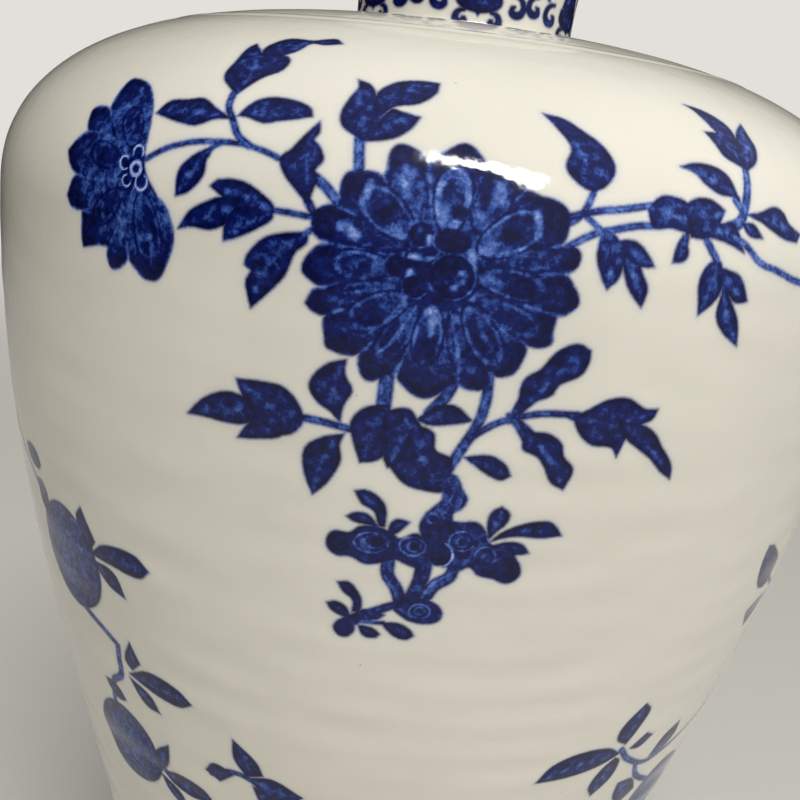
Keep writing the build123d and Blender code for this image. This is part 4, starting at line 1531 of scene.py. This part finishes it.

# Shoulder dome: flat, with a painted shade line in the crease where it meets the ridge
shoulderDomePiece = {"innerStep": 4.0, "rowStep": 1.6, "firstRow": 0.5, "shadeLineWidth": 0.6}
shoulderDome = skinPiece(
    "shoulder_dome_skin", endsOf("shoulder", "neck"),
    wallSection("neck", "shoulder", shoulderDomePiece["innerStep"]),
    step=shoulderDomePiece["rowStep"],
    fixed=[seams["shoulder"]["s"] + shoulderDomePiece["firstRow"]], sprays=neckSprays,
)
creaseShadeLines(shoulderDome, [(*seams["shoulder"]["place"], shoulderDomePiece["shadeLineWidth"])])
dress(shoulderDome, glazed, "shoulder_dome")

# Neck: the waisted wall below the rim
neckPiece = {"innerStep": 2.0, "rowStep": 1.6, "columns": 96}
neck = skinPiece(
    "neck_skin", endsOf("neck", "lip"), wallSection("lip", "neck", neckPiece["innerStep"]),
    cols=neckPiece["columns"], step=neckPiece["rowStep"], sprays=neckSprays,
)
creaseShadeLines(neck, [])
dress(neck, glazed, "neck")


# Turned rings: a node tree sweeps a section once round the axis
def turnedTree():
    tree = bpy.data.node_groups.new("turned_ring", "GeometryNodeTree")
    tree.is_modifier = True
    tree.interface.new_socket("Section", in_out="INPUT", socket_type="NodeSocketGeometry")
    for name, kind, value in (
        ("Sweep Radius", "NodeSocketFloat", 0.05), ("Steps Round", "NodeSocketInt", 192),
        ("Sharp Angle", "NodeSocketFloat", sharpAngle), ("Clay", "NodeSocketMaterial", None),
    ):
        socket = tree.interface.new_socket(name, in_out="INPUT", socket_type=kind)
        if value is not None:
            socket.default_value = value
    tree.interface.new_socket("Ring", in_out="OUTPUT", socket_type="NodeSocketGeometry")
    given = tree.nodes.new("NodeGroupInput").outputs
    section = tree.nodes.new("GeometryNodeMeshToCurve")
    path = tree.nodes.new("GeometryNodeCurvePrimitiveCircle")
    upright = tree.nodes.new("GeometryNodeSetCurveNormal")
    upright.mode = "Z_UP"
    sweep = tree.nodes.new("GeometryNodeCurveToMesh")
    outward = tree.nodes.new("GeometryNodeFlipFaces")
    weld = tree.nodes.new("GeometryNodeMergeByDistance")
    weld.inputs["Distance"].default_value = 0.00001
    corner = tree.nodes.new("GeometryNodeInputMeshEdgeAngle")
    sharp = mathNode(tree, "GREATER_THAN", corner.outputs["Unsigned Angle"], given["Sharp Angle"])
    soft = tree.nodes.new("GeometryNodeSetShadeSmooth")
    creased = tree.nodes.new("GeometryNodeSetShadeSmooth")
    creased.domain = "EDGE"
    creased.inputs["Shade Smooth"].default_value = False
    real = tree.nodes.new("GeometryNodeRealizeInstances")
    clay = tree.nodes.new("GeometryNodeSetMaterial")
    link(tree, given["Section"], section.inputs["Mesh"])
    link(tree, given["Steps Round"], path.inputs["Resolution"])
    link(tree, given["Sweep Radius"], path.inputs["Radius"])
    link(tree, path.outputs["Curve"], upright.inputs["Curve"])
    link(tree, upright.outputs["Curve"], sweep.inputs["Curve"])
    link(tree, section.outputs["Curve"], sweep.inputs["Profile Curve"])
    link(tree, sweep.outputs["Mesh"], outward.inputs["Mesh"])
    link(tree, outward.outputs["Mesh"], weld.inputs["Geometry"])
    for before, after in ((weld, soft), (soft, creased), (creased, real), (real, clay)):
        link(tree, before.outputs["Geometry"], after.inputs["Geometry"])
    link(tree, sharp, creased.inputs["Selection"])
    link(tree, given["Clay"], clay.inputs["Material"])
    link(tree, clay.outputs["Geometry"], tree.nodes.new("NodeGroupOutput").inputs["Ring"])
    return tree


turnedRing = turnedTree()


def turnedPiece(name, line, clay, steps=192, closed=True):
    # The section is drawn from the sweep radius, and the ring comes out as a
    # plain mesh with no modifier
    line = np.array(line, float)
    sweepRadius = float(line[:, 0].max())
    flat = np.stack([line[:, 0] - sweepRadius, -line[:, 1], np.zeros(len(line))], 1) * mm
    ends = [(k, (k + 1) % len(line)) for k in range(len(line) if closed else len(line) - 1)]
    drawn = bpy.data.meshes.new(name + "_section")
    drawn.from_pydata(flat.tolist(), ends, [])
    drawing = bpy.data.objects.new(name + "_section", drawn)
    bpy.context.scene.collection.objects.link(drawing)
    live = drawing.modifiers.new("turned", "NODES")
    live.node_group = turnedRing
    values = {
        "Sweep Radius": sweepRadius * mm,
        "Steps Round": steps,
        "Sharp Angle": sharpAngle,
        "Clay": clay,
    }
    for socket in turnedRing.interface.items_tree:
        if socket.item_type == "SOCKET" and socket.name in values:
            live[socket.identifier] = values[socket.name]
    ready = drawing.evaluated_get(bpy.context.evaluated_depsgraph_get())
    mesh = bpy.data.meshes.new_from_object(ready)
    drawing.modifiers.remove(live)
    bpy.data.objects.remove(drawing)
    mesh.name = name
    thing = bpy.data.objects.new(name, mesh)
    bpy.context.scene.collection.objects.link(thing)
    for key, value in bare.items():
        pointValues(mesh, key, np.full(len(mesh.vertices), value))
    print(name, "has", len(mesh.polygons), "faces")
    return thing


# Mouth rim: flared and rolled
mouthRimPiece = {
    "steps": 144,
    "insideSteps": 14,
    "outsideSteps": 8,
    "rollSteps": 34,
    "rollFrom": -100,
    "rollTo": 180,
    "rollFootRadius": 28.1,
    "rollFootHeight": 329.6,
}
lapTop, innerTop = lapFaces(seams["lip"], b["gap"])
lipInside = np.stack(inner.at(np.linspace(inner.s[-1], innerTop, mouthRimPiece["insideSteps"])), 1)
rollEnds = (mouthRimPiece["rollFrom"], mouthRimPiece["rollTo"])
lipRoll = [
    (lipCentre[0] + b["lipWidth"] / 2 * math.cos(a), lipCentre[1] + b["lipThickness"] / 2 * math.sin(a))
    for a in np.linspace(*rollEnds, mouthRimPiece["rollSteps"]) * turnDeg
]
rollFoot = outer.where(mouthRimPiece["rollFootRadius"], mouthRimPiece["rollFootHeight"])
neckUp = np.stack(outer.at(np.linspace(seams["lip"]["s"], rollFoot, mouthRimPiece["outsideSteps"])), 1)
mouthRim = turnedPiece(
    "mouth_rim_skin", [*neckUp, *lipRoll[1:], *lipInside[1:], *lapTop[::-1]], glazed,
    steps=mouthRimPiece["steps"],
)
dress(mouthRim, glazed, "mouth_rim")

# Foot ring: glazed down to a bare turned rim
footPiece = {
    "round": 2.6,
    "outer": 65.5,
    "outside": 65.6,
    "inner": 58.4,
    "ledge": 11.6,
    "middle": 61.25,
    "top": 19.2,
}
footOuterS = np.linspace(outer.where(footPiece["outside"], footPiece["round"]), seams["foot"]["s"], 12)
footOutside = np.stack(outer.at(footOuterS), 1)
rimHeight = footPiece["round"]
rimOut = quarter((footPiece["outer"] - rimHeight, rimHeight), rimHeight, 270, 354, 9)
rimIn = quarter((footPiece["inner"] + rimHeight, rimHeight), rimHeight, 180, 270, 9)
footLook = {
    "clay": linear(222, 210, 188),
    "darkClay": linear(196, 178, 150),
    "burnt": linear(188, 134, 88),
    "burntShare": 0.65,
    "raggedScale": 55,
    "grainScale": 900,
    # in metres
    "ragged": 0.0022,
    "burntFrom": 0.0030,
    "glazeFrom": 0.0044,
    "glazeFull": 0.0049,
    "grainHeight": 0.0001,
}


def footMaterial():
    # Bare, slightly sandy clay on the rim, a burnt orange line, then glaze
    material, tree, shader, coords = newMaterial("foot_rim_biscuit_and_glaze")
    look = footLook
    axes = tree.nodes.new("ShaderNodeSeparateXYZ")
    link(tree, coords, axes.inputs[0])
    ragged = swing(tree, noise(tree, coords, look["raggedScale"], 3, 0.6), look["ragged"])
    height = plus(tree, axes.outputs["Z"], ragged)
    glazeShare = between(tree, height, look["glazeFrom"], look["glazeFull"])
    burnt = between(tree, height, look["burntFrom"], look["glazeFrom"])
    burnt = times(tree, burnt, restOf(tree, glazeShare))
    grain = noise(tree, coords, look["grainScale"], 3, 0.6)
    clay = mixColour(tree, between(tree, grain, 0.35, 0.7), look["clay"], look["darkClay"])
    clay = mixColour(tree, times(tree, burnt, look["burntShare"]), clay, look["burnt"])
    colour = mixColour(tree, glazeShare, clay, glazeLook["glaze"])
    link(tree, colour, shader.inputs["Base Color"])
    link(tree, between(tree, glazeShare, 0, 1, 0.72, 0.08), shader.inputs["Roughness"])
    bumpBy(tree, shader, times(tree, grain, restOf(tree, glazeShare)), 0.4, look["grainHeight"])
    return material


footClay = footMaterial()
footRing = turnedPiece("foot_ring_skin", [
    *rimOut, *footOutside,
    (footPiece["middle"], footPiece["top"]), (footPiece["middle"], footPiece["ledge"]),
    (footPiece["inner"], footPiece["ledge"]), *rimIn,
], footClay)
dress(footRing, footClay, "foot_ring")

# Base disc: its step drops into the ledge of the foot ring
baseDiscPiece = {"radius": 60.95, "stepRadius": 58.1, "bottom": 8.6, "step": 11.6, "rings": (0, 20, 40)}
disc = baseDiscPiece
baseDisc = turnedPiece("base_disc_skin", [
    *[(radius, disc["bottom"]) for radius in (*disc["rings"], disc["stepRadius"])],
    (disc["stepRadius"], disc["step"]), (disc["radius"], disc["step"]),
    *[(radius, b["floorTop"]) for radius in (disc["radius"], *disc["rings"][::-1])],
], glazed, closed=False)
dress(baseDisc, glazed, "base_disc")

# The inside pieces are shown as the CAD has them
for node in ("base_coil", "lower_slip", "middle_slip", "shoulder_slip"):
    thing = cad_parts[node]
    thing.data.materials.clear()
    thing.data.materials.append(slipClay)
print("pieces made")

# Floor, lights and camera
studio = {
    "paper": linear(226, 224, 219),
    "paperRoughness": 0.9,
    "floorRadius": 9,
    "fadeFrom": 0.5,
    "fadeTo": 2.2,
    "lightFrom": Vector((0.46, -0.42, 0.78)).normalized(),
    "domeFoot": -0.07,
    "domeLow": 0.03,
    "domeHigh": 1.03,
}


def seenOrDome(tree, way, seen):
    # Plain for the camera, and for the rest a soft dome that is brightest
    # overhead and a little to the front right
    flat = vectorNode(tree, "NORMALIZE", way)
    lean = vectorNode(tree, "DOT_PRODUCT", flat.outputs["Vector"])
    lean.inputs[1].default_value = studio["lightFrom"]
    dome = between(
        tree, lean.outputs["Value"], studio["domeFoot"], 1.0, studio["domeLow"], studio["domeHigh"]
    )
    return plus(tree, times(tree, seen, restOf(tree, dome)), dome)


bpy.ops.mesh.primitive_circle_add(
    vertices=96, radius=studio["floorRadius"], fill_type="NGON", location=(0, 0, 0)
)
floor = bpy.context.object
floor.name = "studio_floor"
paper, tree, shader, coords = newMaterial("pale_paper")
shader.inputs["Roughness"].default_value = studio["paperRoughness"]
shader.inputs["Base Color"].default_value = studio["paper"]
outward = vectorNode(tree, "LENGTH", coords)
farShare = between(tree, outward.outputs["Value"], studio["fadeFrom"], studio["fadeTo"])
glow = tree.nodes.new("ShaderNodeEmission")
glow.inputs["Color"].default_value = studio["paper"]
# the far floor is seen as paper, and lights the vase as the dome's foot does
floorRays = tree.nodes.new("ShaderNodeLightPath")
link(tree, seenOrDome(tree, coords, floorRays.outputs["Is Camera Ray"]), glow.inputs["Strength"])
mixed = tree.nodes.new("ShaderNodeMixShader")
for place, source in enumerate((farShare, shader.outputs[0], glow.outputs[0])):
    link(tree, source, mixed.inputs[place])
link(tree, mixed.outputs[0], tree.nodes["Material Output"].inputs["Surface"])
floor.data.materials.append(paper)

world = bpy.data.worlds.new("studio")
bpy.context.scene.world = world
world.use_nodes = True
tree = world.node_tree
background = tree.nodes["Background"]
rays = tree.nodes.new("ShaderNodeLightPath")
seen = mathNode(tree, "MAXIMUM", rays.outputs["Is Camera Ray"], rays.outputs["Is Transmission Ray"])
way = tree.nodes.new("ShaderNodeTexCoord").outputs["Generated"]
background.inputs["Color"].default_value = studio["paper"]
link(tree, seenOrDome(tree, way, seen), background.inputs["Strength"])

# The camera, as it stood for the photo: its place in metres, turned down, aside
# and rolled by these degrees, with a lens of 950 pixels on an 800 pixel frame
view = {
    "place": (0.0, -0.250474, 0.283317),
    "pitch": 14.9637,
    "yaw": -0.9205,
    "roll": 7.1736,
    "lensPixels": 950.0,
    "framePixels": 800.0,
    "sensorWidth": 36,
    "nearest": 0.01,
}
pitch, yaw, roll = [view[name] * turnDeg for name in ("pitch", "yaw", "roll")]
ahead = Vector((math.sin(yaw) * math.cos(pitch), math.cos(yaw) * math.cos(pitch), -math.sin(pitch)))
level = Vector((math.cos(yaw), -math.sin(yaw), 0))
upward = level.cross(ahead)
right = level * math.cos(roll) + upward * math.sin(roll)
above = upward * math.cos(roll) - level * math.sin(roll)
cameraData = bpy.data.cameras.new("view")
cameraData.sensor_width = view["sensorWidth"]
cameraData.lens = view["sensorWidth"] * view["lensPixels"] / view["framePixels"]
cameraData.clip_start = view["nearest"]
camera = bpy.data.objects.new("view", cameraData)
bpy.context.scene.collection.objects.link(camera)
turnMatrix = Matrix((right, above, -ahead)).transposed().to_4x4()
turnMatrix.translation = Vector(view["place"])
camera.matrix_world = turnMatrix
bpy.context.scene.camera = camera

# The lamp whose reflection the photo shows on the shoulder: the pixel of its
# middle, and the lamp's distance and sizes in metres
keyLamp = {
    "pixelX": 487,
    "pixelY": 166,
    "distance": 0.9,
    "width": 0.40,
    "height": 0.080,
    "watts": 5.4,
    "colour": (1.0, 0.985, 0.955),
    "turn": -0.46,
}


def mirrorOf(pixelX, pixelY, distance):
    # Where a lamp stands so that its reflection shows at that pixel of the photo
    middle = view["framePixels"] / 2
    across, down = [(pixel - middle) / view["lensPixels"] for pixel in (pixelX, pixelY)]
    ray = ahead + right * across - above * down
    ray.normalize()
    nearest, farthest = 0.05, 0.6
    for t in np.linspace(nearest, farthest, 4000):
        p = Vector(view["place"]) + ray * t
        r = math.hypot(p.x, p.y) / mm
        if r < np.interp(p.z / mm, outer.line[:, 1], outer.line[:, 0]):
            break
    theta = math.atan2(p.y, p.x)
    s = outer.where(r, p.z / mm)
    n = Vector(surfaceNormal(np.array([theta]), np.array([s]))[0])
    out = ray - n * (2 * ray.dot(n))
    return p, p + out * distance


glint, lampPlace = mirrorOf(keyLamp["pixelX"], keyLamp["pixelY"], keyLamp["distance"])
print("key lamp at", [round(c, 3) for c in lampPlace])
lampData = bpy.data.lights.new("key", "AREA")
lampData.shape = "RECTANGLE"
lampData.size, lampData.size_y = keyLamp["width"], keyLamp["height"]
lampData.energy = keyLamp["watts"]
lampData.color = keyLamp["colour"]
lamp = bpy.data.objects.new("key", lampData)
bpy.context.scene.collection.objects.link(lamp)
lamp.location = lampPlace
aim = (glint - lampPlace).to_track_quat("-Z", "Y")
lamp.rotation_mode = "QUATERNION"
lamp.rotation_quaternion = aim @ Matrix.Rotation(keyLamp["turn"], 3, "Z").to_quaternion()

bpy.context.scene.view_settings.view_transform = "Standard"
